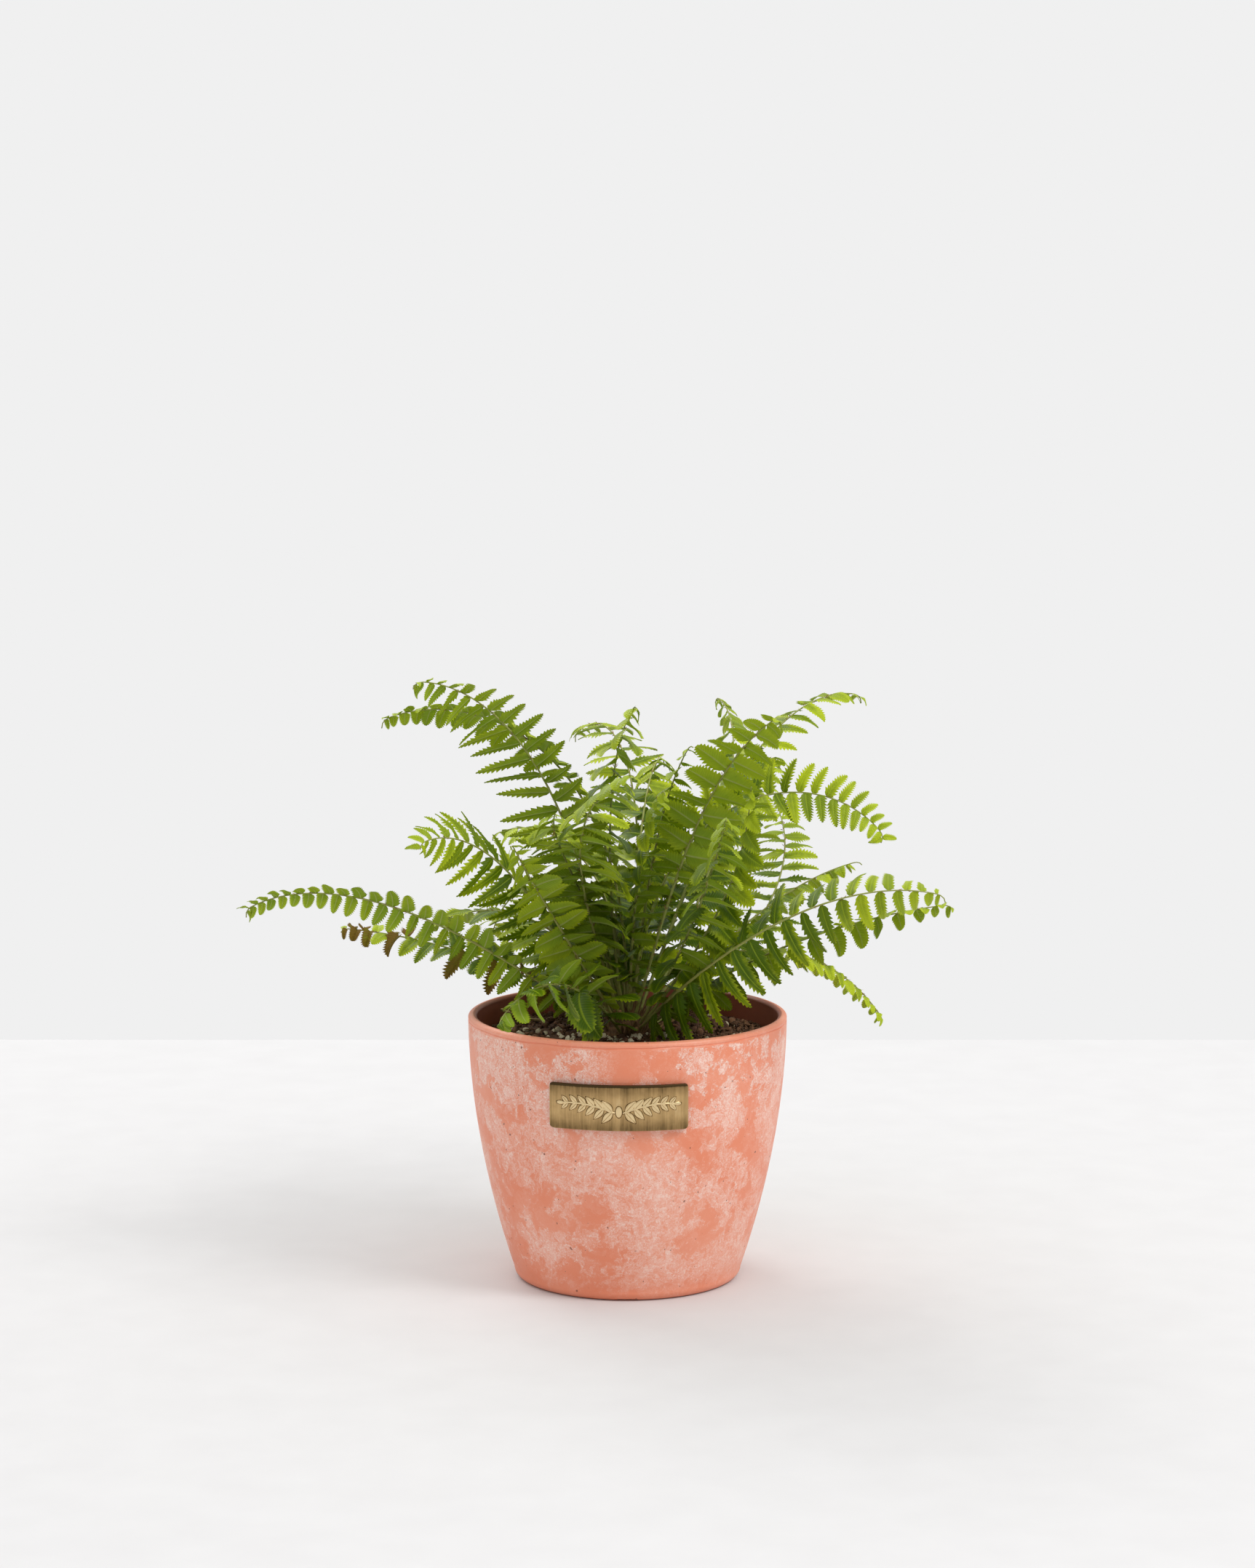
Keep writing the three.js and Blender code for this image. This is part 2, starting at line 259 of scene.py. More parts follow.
def unit(vectors):
    return vectors / np.maximum(np.linalg.norm(vectors, axis=-1, keepdims=True), 1e-9)


def turned_about(vectors, axes, angles):
    """Vectors turned about unit axes by angles in radians."""
    angles = np.asarray(angles)[..., None]
    along = np.sum(vectors * axes, axis=-1, keepdims=True)
    return (
        vectors * np.cos(angles)
        + np.cross(axes, vectors) * np.sin(angles)
        + axes * along * (1 - np.cos(angles))
    )


def grid_faces(rows, columns, closed=False):
    """Four-sided faces of a grid of points, joined round if it is closed."""
    row = np.arange(rows - 1)[:, None]
    column = np.arange(columns if closed else columns - 1)[None, :]
    after = (column + 1) % columns
    corners = [row * columns + column, row * columns + after,
               (row + 1) * columns + after, (row + 1) * columns + column]
    return np.stack([c.ravel() for c in np.broadcast_arrays(*corners)], axis=1)


def lathe(profile, steps):
    """Turns (radius, height) points, from the bottom of the axis round to its top, about Z."""
    profile = np.asarray(profile, float)
    angles = np.linspace(0, 2 * math.pi, steps, endpoint=False)
    radius = profile[1:-1, 0][:, None]
    height = np.broadcast_to(profile[1:-1, 1][:, None], (len(profile) - 2, steps))
    rings = np.stack([radius * np.cos(angles), radius * np.sin(angles), height], axis=-1)
    count = rings.shape[0] * steps
    points = np.concatenate([rings.reshape(-1, 3), [[0, 0, profile[0, 1]], [0, 0, profile[-1, 1]]]])
    quads = grid_faces(rings.shape[0], steps, closed=True)
    here = np.arange(steps)
    after = (here + 1) % steps
    last = (rings.shape[0] - 1) * steps
    bottom = np.stack([after, here, np.full(steps, count)], axis=1)
    top = np.stack([last + here, last + after, np.full(steps, count + 1)], axis=1)
    return points, [quads, np.concatenate([bottom, top])]


def tube(path, radii, sides, squash=1.0):
    """A closed tube along a path, with a point at each end."""
    path = np.asarray(path, float)
    course = unit(np.gradient(path, axis=0))
    side = np.zeros_like(course)
    side[0] = unit(np.cross(course[0], [0.123, 0.456, 0.881]))
    for i in range(1, len(path)):
        side[i] = unit(side[i - 1] - course[i] * np.dot(side[i - 1], course[i]))
    up = np.cross(course, side)
    angles = np.linspace(0, 2 * math.pi, sides, endpoint=False)
    radii = np.broadcast_to(np.asarray(radii, float), (len(path),))[:, None, None]
    rings = path[:, None] + radii * (
        side[:, None] * np.cos(angles)[:, None] + squash * up[:, None] * np.sin(angles)[:, None]
    )
    ends = [path[0] - course[0] * radii[0, 0] * 0.6, path[-1] + course[-1] * radii[-1, 0] * 0.6]
    points = np.concatenate([rings.reshape(-1, 3), ends])
    count = len(path) * sides
    here = np.arange(sides)
    after = (here + 1) % sides
    last = (len(path) - 1) * sides
    first = np.stack([after, here, np.full(sides, count)], axis=1)
    final = np.stack([last + here, last + after, np.full(sides, count + 1)], axis=1)
    return points, [grid_faces(len(path), sides, closed=True), np.concatenate([first, final])]


def flakes(roots, pointing, facing, lengths, widths, thickness=0.12):
    """Thin closed scales, each six points and eight faces."""
    across = unit(np.cross(facing, pointing))
    facing = np.cross(pointing, across)
    lengths = np.asarray(lengths)[:, None]
    widths = np.asarray(widths)[:, None]
    middle = roots + pointing * lengths * 0.35
    points = np.stack([
        roots,
        middle + across * widths / 2,
        middle - across * widths / 2,
        middle + facing * thickness,
        middle - facing * thickness,
        roots + pointing * lengths + facing * lengths * 0.12,
    ], axis=1)
    one = np.array([[0, 3, 1], [0, 2, 3], [0, 4, 2], [0, 1, 4],
                    [5, 1, 3], [5, 3, 2], [5, 2, 4], [5, 4, 1]])
    faces = (one[None] + 6 * np.arange(len(roots))[:, None, None]).reshape(-1, 3)
    return points.reshape(-1, 3), faces


def ball(parts):
    """A sphere's points and triangles, from an icosahedron whose faces are split."""
    ratio = (1 + 5 ** 0.5) / 2
    points = [(-1, ratio, 0), (1, ratio, 0), (-1, -ratio, 0), (1, -ratio, 0),
              (0, -1, ratio), (0, 1, ratio), (0, -1, -ratio), (0, 1, -ratio),
              (ratio, 0, -1), (ratio, 0, 1), (-ratio, 0, -1), (-ratio, 0, 1)]
    faces = [(0, 11, 5), (0, 5, 1), (0, 1, 7), (0, 7, 10), (0, 10, 11),
             (1, 5, 9), (5, 11, 4), (11, 10, 2), (10, 7, 6), (7, 1, 8),
             (3, 9, 4), (3, 4, 2), (3, 2, 6), (3, 6, 8), (3, 8, 9),
             (4, 9, 5), (2, 4, 11), (6, 2, 10), (8, 6, 7), (9, 8, 1)]
    points = [np.array(p, float) / np.linalg.norm(p) for p in points]
    for _ in range(parts):
        middles = {}
        finer = []

        def between(a, b):
            key = (min(a, b), max(a, b))
            if key not in middles:
                middle = points[a] + points[b]
                points.append(middle / np.linalg.norm(middle))
                middles[key] = len(points) - 1
            return middles[key]

        for a, b, c in faces:
            ab, bc, ca = between(a, b), between(b, c), between(c, a)
            finer += [(a, ab, ca), (b, bc, ab), (c, ca, bc), (ab, bc, ca)]
        faces = finer
    return np.array(points), np.array(faces)


def rubble(random, centres, sizes, flatness, parts=0, jitter=0.22):
    """Many rough grains as one set of points and triangles."""
    points, faces = ball(parts)
    count = len(centres)
    bumps = 1 + random.uniform(-jitter, jitter, (count, len(points), 1))
    shape = random.uniform(flatness, 1.0, (count, 1, 3))
    local = points[None] * bumps * shape * np.asarray(sizes)[:, None, None] / 2
    axes = unit(random.normal(size=(count, 3)))[:, None]
    local = turned_about(local, np.broadcast_to(axes, local.shape),
                         random.uniform(0, 2 * math.pi, (count, 1)) * np.ones((1, len(points))))
    moved = local + np.asarray(centres)[:, None]
    all_faces = faces[None] + len(points) * np.arange(count)[:, None, None]
    return moved.reshape(-1, 3), all_faces.reshape(-1, 3), len(points)


def rough(points, size, seed=0.0, octaves=4):
    """Fractal noise from about -1 to 1 at each point, for features of this size."""
    return np.array([
        noise.fractal(Vector((p / size).tolist()) + Vector((seed, seed, seed)), 1.0, 2.0, octaves)
        for p in points
    ])


# ---------------------------------------------------------------- sizes and colours


def length(name, description, default):
    return FloatProperty(name=name, description=description, default=default * MM,
                         min=0.0, unit="LENGTH", subtype="DISTANCE", precision=4)


def colour(name, description, default):
    return FloatVectorProperty(name=name, description=description, default=srgb(default)[:3],
                               size=3, min=0.0, max=1.0, subtype="COLOR")


class PotSettings(bpy.types.PropertyGroup):
    """Sizes and colours of the pot."""
    rim_radius: length("Rim radius", "Outer radius at the rim", 65)
    height: length("Height", "Height of the pot", 109)
    taper: length("Taper", "How much the wall draws in from rim to underside", 19.8)
    wall: length("Wall", "Thickness of the wall", 3.6)
    foot: length("Foot rounding", "Rounding between the wall and the underside", 4)
    resin: colour("Resin", "Main colour of the resin", "e98864")
    veins: colour("Veins", "Colour of the pale marbling", "fbdfd3")
    # The inside colour is darker than the resin as painted shade on the inner wall.
    inside: colour("Inside", "Colour of the inner wall", "b0604c")


class PlateSettings(bpy.types.PropertyGroup):
    """Sizes and colours of the plate on the pot."""
    width: length("Width", "Width of the plate", 54.6)
    height: length("Height", "Height of the plate", 18.6)
    corner: length("Corner", "Radius of the plate's corners", 1.6)
    relief: length("Relief", "How far the sprigs stand out", 0.5)
    brass: colour("Brass", "Colour of the rubbed brass", "e8cf9f")
    patina: colour("Patina", "Colour of the dark patina", "4a3a22")
    foam: colour("Pad", "Colour of the adhesive pad", "2b2a28")


class SoilSettings(bpy.types.PropertyGroup):
    """Sizes and colours of the potting soil."""
    edge: length("Edge height", "Height of the soil at the wall", 98.5)
    rise: length("Rise", "How much the soil mounds up in the middle", 2.5)
    crumbs: IntProperty(name="Crumbs", description="Number of peat crumbs", default=2600, min=0)
    grains: IntProperty(name="Perlite", description="Number of perlite grains", default=120, min=0)
    peat: colour("Peat", "Colour of the peat", "4e382a")
    perlite: colour("Perlite", "Colour of the perlite", "ece0c2")


class CrownSettings(bpy.types.PropertyGroup):
    """Sizes and colours of the rootstock and the dry stalk."""
    radius: length("Radius", "Radius of the crown's dome", 14)
    height: length("Height", "Height of the middle of the dome", 96)
    depth: length("Root depth", "How far the root plug reaches below that", 16)
    stubs: IntProperty(name="Stubs", description="Number of old stalk stubs", default=20, min=0)
    bark: colour("Bark", "Colour of the rootstock", "4a3320")
    straw: colour("Straw", "Colour of the dry stalk", "a98d5e")


class FrondSettings(bpy.types.PropertyGroup):
    """Sizes and colours of the fronds."""
    pitch: length("Leaflet pitch", "Spacing of the largest leaflets along one side", 8.4)
    thickness: length("Thickness", "Thickness of a leaflet", 0.3)
    tooth: length("Tooth depth", "Depth of the teeth on the margins", 1.15)
    rib: length("Rib radius", "Radius of the stalk at the crown", 0.68)
    teeth: IntProperty(name="Teeth", description="Teeth along each margin", default=11, min=3)
    # Blade and Margin are the dark and the light ends of the leaflets' painted shade, which darkens each
    # leaflet's base and middle and lightens its margins and tip.
    blade: colour("Blade", "Colour of the upper side", "425f02")
    margin: colour("Margin", "Colour towards the margins", "c8d61e")
    under: colour("Underside", "Colour of the underside", "a9bb28")
    young: colour("Young", "Colour of young tips", "c0d430")
    old: colour("Old", "Colour of withered parts", "7d5a25")
    stalk: colour("Stalk", "Colour of the stalks", "939a4a")


class StageSettings(bpy.types.PropertyGroup):
    """The floor and the light."""
    floor: colour("Floor", "Colour of the floor", "d4d3d3")
    backdrop: colour("Backdrop", "Colour behind the floor", "f0f0f0")
    depth: FloatProperty(name="Floor depth", description="Where the floor ends behind the pot",
                         default=0.49, unit="LENGTH", subtype="DISTANCE")
    key: FloatProperty(name="Key light", description="Power of the main light", default=24.0, min=0.0)
    sky: FloatProperty(name="Sky", description="Strength of the light from all round", default=0.885,
                       min=0.0)


SETTINGS = {
    "fern_pot": PotSettings,
    "fern_plate": PlateSettings,
    "fern_soil": SoilSettings,
    "fern_crown": CrownSettings,
    "fern_fronds": FrondSettings,
    "fern_stage": StageSettings,
}


# ---------------------------------------------------------------- pot

# Shape of the pot, as the CAD model has it, in millimetres.
TAPER_POWER = 1.9
LIP_ROUND = 1.4
LIP_BAND = 2.2  # from the top down to the fine line under the lip
FLOOR = 3.5
GROOVE_START, GROOVE_HALF, GROOVE_DEPTH = 22.0, 4.0, 0.8  # drain grooves on the underside
HOLE_AT, HOLE_RADIUS, HOLE_SIDES = 27, 3.0, 32
DRAINS = 4

# Finer shape that only the visual model has.
POT_STEPS = 288
LIP_LINE_START = 0.45
LIP_LINE = ((-0.32, -0.2), (-0.34, 0.0), (-0.05, 0.25))  # off the wall, and up from the line
LIP_LINE_SPREAD = 0.5
LIP_WAVES = ((0.14, 9, 1), (0.09, 23, 0))  # height, waves round the pot, start

# Where the resin's finish changes, in metres of height or of distance from the middle.
UPPER_MARBLING = (0.066, 0.094)
LIP_SPAN = (0.1052, 0.1068)
FOOT_SPAN = (-0.006, 0.016)
BARE_SPAN = (0.088, 0.098)
BARE_HALF = 0.02


def outer_radius(pot, z):
    height = pot.height / MM
    share = np.clip(1 - np.asarray(z, float) / height, 0, None)
    return pot.rim_radius / MM - pot.taper / MM * share ** TAPER_POWER


def inner_radius(pot, z):
    return outer_radius(pot, z) - pot.wall / MM


def pot_profile(pot):
    """The pot's section, up the outside, over the lip and down the inside."""
    height, wall, foot = pot.height / MM, pot.wall / MM, pot.foot / MM
    turn = np.radians(np.linspace(0, 90, 12))
    foot_radius = outer_radius(pot, foot) - foot
    outside = [(0, 0), (foot_radius * 0.5, 0)]
    outside += [(foot_radius + foot * math.sin(a), foot * (1 - math.cos(a))) for a in turn]
    line = height - LIP_BAND
    outside += [(float(outer_radius(pot, z)), z)
                for z in np.linspace(foot, line - LIP_LINE_START, 60)[1:]]
    outside += [(float(outer_radius(pot, line)) + off, line + up) for off, up in LIP_LINE]
    middle = pot.rim_radius / MM - wall / 2
    lip = [(middle + wall / 2 * math.cos(a), height - LIP_ROUND + LIP_ROUND * math.sin(a))
           for a in np.radians(np.linspace(0, 180, 20))]
    inner_foot = FLOOR + foot
    inside = [(float(inner_radius(pot, z)), z)
              for z in np.linspace(height - LIP_ROUND, inner_foot, 26)[1:]]
    bowl = [(float(inner_radius(pot, inner_foot)) - foot * (1 - math.cos(a)),
             inner_foot - foot * math.sin(a)) for a in turn[1:]]
    return outside + lip + inside + bowl + [(0, FLOOR)], len(outside) + len(lip) // 2


def cut(piece, cutters):
    """Cuts closed shapes out of a piece and removes them."""
    for cutter in cutters:
        modifier = piece.modifiers.new("Cut", "BOOLEAN")
        modifier.operation = "DIFFERENCE"
        modifier.solver = "EXACT"
        modifier.object = cutter
    graph = bpy.context.evaluated_depsgraph_get()
    mesh = bpy.data.meshes.new_from_object(piece.evaluated_get(graph))
    piece.modifiers.clear()
    piece.data = mesh
    for cutter in cutters:
        bpy.data.objects.remove(cutter)


def cutter(points, faces):
    mesh = bpy.data.meshes.new("Cutter")
    mesh.from_pydata((np.asarray(points) * MM).tolist(), [], [list(map(int, f)) for f in faces])
    made = bpy.data.objects.new("Cutter", mesh)
    bpy.context.scene.collection.objects.link(made)
    return made


def resin_finish(pot):
    """Salmon resin with pale wisps of marbling and a few dark specks, plain and darker on the inner wall
    as painted shade.
    """
    f = Finish("Resin")
    where = f.place()
    height = f.axis(where, 2)
    warp = f.vector("SUBTRACT", f.noise(where, 75, 5, 0.65, output=1), (0.5, 0.5, 0.5))
    drawn = f.vector("ADD", where, f.vector("MULTIPLY", warp, (0.017, 0.017, 0.017)))
    upper = height.between(*UPPER_MARBLING)
    share = f.noise(f.place((1, 1, 1.4)), 20, 3) - 0.5
    grain = f.noise(f.place((1, 1, 0.16)), 900, 3, 0.65)
    strokes = f.noise(f.place((1, 1, 0.1)), 330, 3, 0.6).between(0.35, 0.68)
    powder = f.noise(where, 1300, 2, 0.6).between(0.35, 0.7)
    film = f.noise(drawn, 58, 8, 0.72) + share * 0.26 - 0.49 - upper * 0.01
    second = f.noise(f.vector("ADD", drawn, (0.21, 0.4, 0.17)), 120, 6, 0.7) + share * 0.25 - 0.51
    covered = film.between(-0.03, 0.05) * 0.09 + second.between(-0.03, 0.04) * 0.07
    haze = (film + second * 0.6).between(-0.22, 0.16) * 0.1
    edges = (1 - abs(film - 0.006) * 60).between(0.0, 1.0) * (0.24 + upper * 0.34)
    edges = edges + (1 - abs(second) * 52).between(0.0, 1.0) * 0.2
    threads = (1 - abs(f.noise(drawn, 210, 5, 0.64) * 2 - 1)) ** 14 * film.between(-0.05, 0.08) * 0.42
    crackle = (1 - abs(f.noise(drawn, 430, 4, 0.66) * 2 - 1)) ** 16 * film.between(-0.1, 0.06)
    threads = threads + crackle * (0.3 + upper * 0.4)
    pale = (covered + haze) * (0.35 + strokes * 0.5 + grain * 0.6)
    pale = pale + (edges + threads) * (0.55 + powder * 0.6)
    lip = height.between(*LIP_SPAN)
    inside = f.attribute("inside")
    bare = (1 - abs(f.axis(where, 0) / BARE_HALF)).between(0.0, 1.0) * height.between(*BARE_SPAN)
    pale = pale * (1 - inside) * height.between(*FOOT_SPAN) * (1 - lip * 0.75) * (1 - bare * 0.85)
    clouds = f.noise(where, 26, 3).between(0.35, 0.7)
    body = f.mix(clouds * 0.55 + lip * 0.3, opaque(pot.resin), srgb("f0a184"))
    marbled = f.mix(pale.between(-0.05, 1.0), body, opaque(pot.veins))
    specks = f.noise(where, 560, 1, 0.4).between(0.765, 0.785) * (1 - inside)
    speckled = f.mix(specks * 0.75, marbled, srgb("6b3527"))
    # Painted shade: the inner wall takes the darker inside colour, and loses its marbling and specks.
    base = f.mix(inside, speckled, opaque(pot.inside))
    gloss = 0.42 + pale.between(0, 1) * 0.16 + f.noise(where, 160, 3) * 0.06
    bumps = f.noise(where, 2600, 3) * 0.3 + pale.between(0, 1) * 0.7
    return f.end({"Base Color": base, "Roughness": gloss,
                  "Normal": f.bump(bumps, 0.00006), "Specular IOR Level": 0.5})


class FERN_OT_pot(bpy.types.Operator):
    """Turns the pot and cuts its drain grooves and holes"""
    bl_idname = "fern.pot"
    bl_label = "Pot"

    def execute(self, context):
        pot = context.scene.fern_pot
        profile, first_inside = pot_profile(pot)
        points, faces = lathe(profile, POT_STEPS)
        ring = np.repeat(np.arange(1, len(profile) - 1), POT_STEPS)
        inside = np.concatenate([(ring > first_inside).astype(float), [0, 1]])
        angle = np.arctan2(points[:, 1], points[:, 0])
        above = (points[:, 2] - (pot.height / MM - LIP_BAND)) / LIP_LINE_SPREAD
        line = np.exp(-above ** 2) * (1 - inside)
        points[:, 2] += line * sum(high * np.sin(waves * angle + start)
                                   for high, waves, start in LIP_WAVES)
        shape = Shape()
        shape.add(points, faces, inside=inside)
        piece = shape.build("pot", [resin_finish(pot)], ["pot"])
        tools = []
        for i in range(DRAINS):
            heading = math.radians(360 / DRAINS * (i - 1))
            along = np.array([math.cos(heading), math.sin(heading), 0])
            across = np.array([-along[1], along[0], 0])
            end = pot.rim_radius / MM
            corners = [along * a + across * b + np.array([0, 0, c])
                       for a in (GROOVE_START, end) for b in (-GROOVE_HALF, GROOVE_HALF)
                       for c in (-1, GROOVE_DEPTH)]
            tools.append(cutter(corners, [(0, 1, 3, 2), (4, 6, 7, 5), (0, 4, 5, 1),
                                          (2, 3, 7, 6), (0, 2, 6, 4), (1, 5, 7, 3)]))
            hole, hole_faces = tube([along * HOLE_AT + np.array([0, 0, z]) for z in (-3, 7)],
                                    HOLE_RADIUS, HOLE_SIDES)
            tools.append(cutter(hole, [face for part in hole_faces for face in part]))
        cut(piece, tools)
        piece.data.set_sharp_from_angle(angle=math.radians(40))
        return {"FINISHED"}


# ---------------------------------------------------------------- plate and pad

PLATE_X = -3.4
PLATE_Z = 83.1
SEAT = 0.3  # clearance between two pieces that rest on each other
PAD = 0.6
PLATE = 1.2
PAD_MARGIN = 2.5
PLATE_GRID = (300, 104)
PLATE_BEVEL = 0.35
PAD_GRID = (60, 20)
PAD_OVERLAP = 0.02

# The sprigs, in millimetres from the plate's middle.
SPRIG_SHARE = 0.4  # how far each stem reaches, as a share of the plate's width
SPRIG_LOW, SPRIG_RISE, SPRIG_TURN = -2.4, 4.2, 1.9
SPRIG_LEAVES = 6
SPRIG_LEAN = math.radians(48)
SPRIG_FIRST, SPRIG_LAST = 2.6, 4.4


def on_wall(pot, x, z, off):
    """Points at x and z that lie this far outside the pot's wall."""
    radius = outer_radius(pot, z) + off
    return np.stack([x, -np.sqrt(radius ** 2 - x ** 2), z], axis=-1)


def patch(pot, width, height, corner, near, far, columns, rows, relief=None, bevel=0.0):
    """A rounded rectangle bent round the wall, from near to far off it."""
    across = np.sin(np.linspace(-math.pi / 2, math.pi / 2, columns)) * 0.35
    across = (across + np.linspace(-1, 1, columns) * 0.65) * width / 2
    trim = np.clip(np.abs(across) - (width / 2 - corner), 0, corner)
    half = height / 2 - corner + np.sqrt(np.clip(corner ** 2 - trim ** 2, 0, None))
    upward = np.linspace(-1, 1, rows)
    x = np.broadcast_to(across[None], (rows, columns))
    z = upward[:, None] * half[None]
    edge = np.minimum(width / 2 - np.abs(x), half[None] - np.abs(z))
    drop = bevel * (1 - np.sqrt(np.clip(1 - (1 - np.clip(edge / max(bevel, 1e-6), 0, 1)) ** 2, 0, 1)))
    raised = relief(x, z) if relief else np.zeros_like(x)
    front = on_wall(pot, x + PLATE_X, z + PLATE_Z, far - drop + raised)
    back = on_wall(pot, x + PLATE_X, z + PLATE_Z, near)
    points = np.concatenate([front.reshape(-1, 3), back.reshape(-1, 3)])
    count = rows * columns
    faces = grid_faces(rows, columns)
    rim = np.concatenate([
        np.arange(columns), np.arange(1, rows) * columns + columns - 1,
        (rows - 1) * columns + np.arange(columns - 2, -1, -1), np.arange(rows - 2, 0, -1) * columns,
    ])
    after = np.roll(rim, -1)
    sides = np.stack([after, rim, rim + count, after + count], axis=1)
    return points, [faces, faces[:, ::-1] + count, sides], raised, edge


def sprig_relief(depth, plate_width):
    """Heights of two mirrored sprigs that meet in a small bud."""
    stem_end = plate_width * SPRIG_SHARE

    def stem_height(side):
        return SPRIG_LOW + SPRIG_RISE * np.sin(side / stem_end * SPRIG_TURN)

    def heights(x, z):
        side = np.abs(x)
        stem_z = stem_height(side)
        stem = np.clip(1 - (np.abs(z - stem_z) / 0.55) ** 2, 0, 1)
        total = stem * ((side > 1.5) & (side < stem_end))
        sine, cosine = math.sin(SPRIG_LEAN), math.cos(SPRIG_LEAN)
        for i in range(SPRIG_LEAVES):
            at = SPRIG_FIRST + i * (stem_end - SPRIG_LAST) / (SPRIG_LEAVES - 1)
            root = stem_height(at)
            for up in (-1, 1):
                size = 6.4 - 0.5 * i
                along = (side - at) * cosine + up * (z - root) * sine
                off = -(side - at) * sine + up * (z - root) * cosine
                share = np.clip(along / size, 0, 1)
                half = 0.27 * size * np.sin(math.pi * share ** 0.75) + 1e-6
                dome = np.clip(1 - (off / half) ** 2, 0, 1) * ((along > 0) & (along < size))
                vein = 1 - 0.5 * np.exp(-(off / 0.16) ** 2)
                total = np.maximum(total, dome ** 0.5 * vein * 0.95)
        end_z = stem_height(stem_end)
        bud = np.clip(1 - ((side - stem_end - 1.2) / 1.7) ** 2 - ((z - end_z) / 0.9) ** 2, 0, 1)
        middle = np.clip(1 - (x / 1.5) ** 2 - ((z + 1.4) / 2.6) ** 2, 0, 1)
        total = np.maximum(total, np.maximum(bud, middle) ** 0.5)
        return depth * total
    return heights


def brass_finish(plate):
    """Brushed antique brass, dark in its hollows and towards its upper and lower edges, with a painted
    highlight round its rim and a painted shadow line just under its top edge.
    """
    f = Finish("Antique brass")
    where = f.place()
    strokes = f.noise(f.place((1, 0.3, 0.035)), 1500, 4, 0.7)
    broad = f.noise(f.place((1, 0.3, 0.06)), 260, 3, 0.6)
    cloud = f.noise(where, 240, 4, 0.6)
    raised = f.attribute("raised")
    edge = f.attribute("edge")
    up = (f.axis(where, 2) - PLATE_Z * MM) / (plate.height / 2)
    wear_and_painted_edge_light = 0.57 + raised * 0.5 - abs(up).between(0.25, 1.0) * 0.34
    wear_and_painted_edge_light = wear_and_painted_edge_light + (strokes - 0.5) * 0.5 + (broad - 0.5) * 0.55 + (cloud - 0.5) * 0.3
    hollow = raised.between(0.02, 0.3) * (1 - raised.between(0.3, 0.75))
    # The hollows take patina; the rim gets a painted highlight, and a band just under the top edge a
    # painted shadow line.
    wear_and_painted_edge_light = wear_and_painted_edge_light - hollow * 0.8 + (1 - edge.between(0.0, 0.5)) * 0.25 - up.between(0.86, 0.97) * 0.5
    base = f.add("ShaderNodeValToRGB", {"stops": [
        (0.05, opaque(plate.patina)), (0.3, srgb("967a50")), (0.6, srgb("c5a471")),
        (0.95, opaque(plate.brass)),
    ]}, {0: wear_and_painted_edge_light})
    gloss = 0.46 - wear_and_painted_edge_light.between(0.3, 1.0) * 0.14 + strokes * 0.08
    return f.end({"Base Color": base, "Metallic": 0.9, "Roughness": gloss,
                  "Normal": f.bump(strokes * 0.6 + cloud * 0.4, 0.00008)})


def foam_finish(plate):
    """Dark closed-cell foam."""
    f = Finish("Adhesive foam")
    pores = f.cells(f.place(), 2200)
    base = f.mix(pores.between(0.1, 0.7), opaque(plate.foam), srgb("3a3835"))
    return f.end({"Base Color": base, "Roughness": 0.9, "Normal": f.bump(pores, 0.0001)})


class FERN_OT_plate(bpy.types.Operator):
    """Bends the brass plate round the pot, with a sprig in relief"""
    bl_idname = "fern.plate"
    bl_label = "Plate"

    def execute(self, context):
        pot, plate = context.scene.fern_pot, context.scene.fern_plate
        near = SEAT + PAD + SEAT
        width, height = plate.width / MM, plate.height / MM
        depth = plate.relief / MM
        points, faces, raised, edge = patch(
            pot, width, height, plate.corner / MM, near, near + PLATE, *PLATE_GRID,
            sprig_relief(depth, width), PLATE_BEVEL)
        shape = Shape()
        shape.add(points, faces, raised=np.tile(raised.ravel() / depth, 2),
                  edge=np.tile(edge.ravel(), 2))
        shape.build("name_plate", [brass_finish(plate)], ["name_plate"], sharp=50)
        return {"FINISHED"}


class FERN_OT_pad(bpy.types.Operator):
    """Makes the adhesive pad behind the plate"""
    bl_idname = "fern.pad"
    bl_label = "Adhesive pad"

    def execute(self, context):
        pot, plate = context.scene.fern_pot, context.scene.fern_plate
        width = plate.width / MM - 2 * PAD_MARGIN
        height = plate.height / MM - 2 * PAD_MARGIN
        # The pad meets the wall and the plate, so that no slit shows between them.
        points, faces, _, _ = patch(pot, width, height, plate.corner / MM, PAD_OVERLAP,
                                    SEAT + PAD + SEAT - PAD_OVERLAP, *PAD_GRID)
        shape = Shape()
        shape.add(points, faces)
        shape.build("plate_pad", [foam_finish(plate)], ["plate_pad"], sharp=50)
        return {"FINISHED"}


# ---------------------------------------------------------------- soil

SOIL_STEPS, SOIL_RINGS = 260, 78
SOIL_SWELLS = ((7.0, 3.0, 0.7), (2.2, 9.0, 0.65))  # size, seed and height of the bumps
CRUMB_SORTS = ((1, 0.8, 2.6, 1.6, 0), (8, 2.2, 5.0, 1.8, 1))  # one in, least, most, power, splits
PERLITE_SIDES = (None, (175, 300))  # all round, and a richer patch between these headings
CHIPS = 150


def soil_height(pot, soil, radius):
    edge = soil.edge / MM
    return edge + soil.rise / MM * (1 - (radius / float(inner_radius(pot, edge))) ** 2)


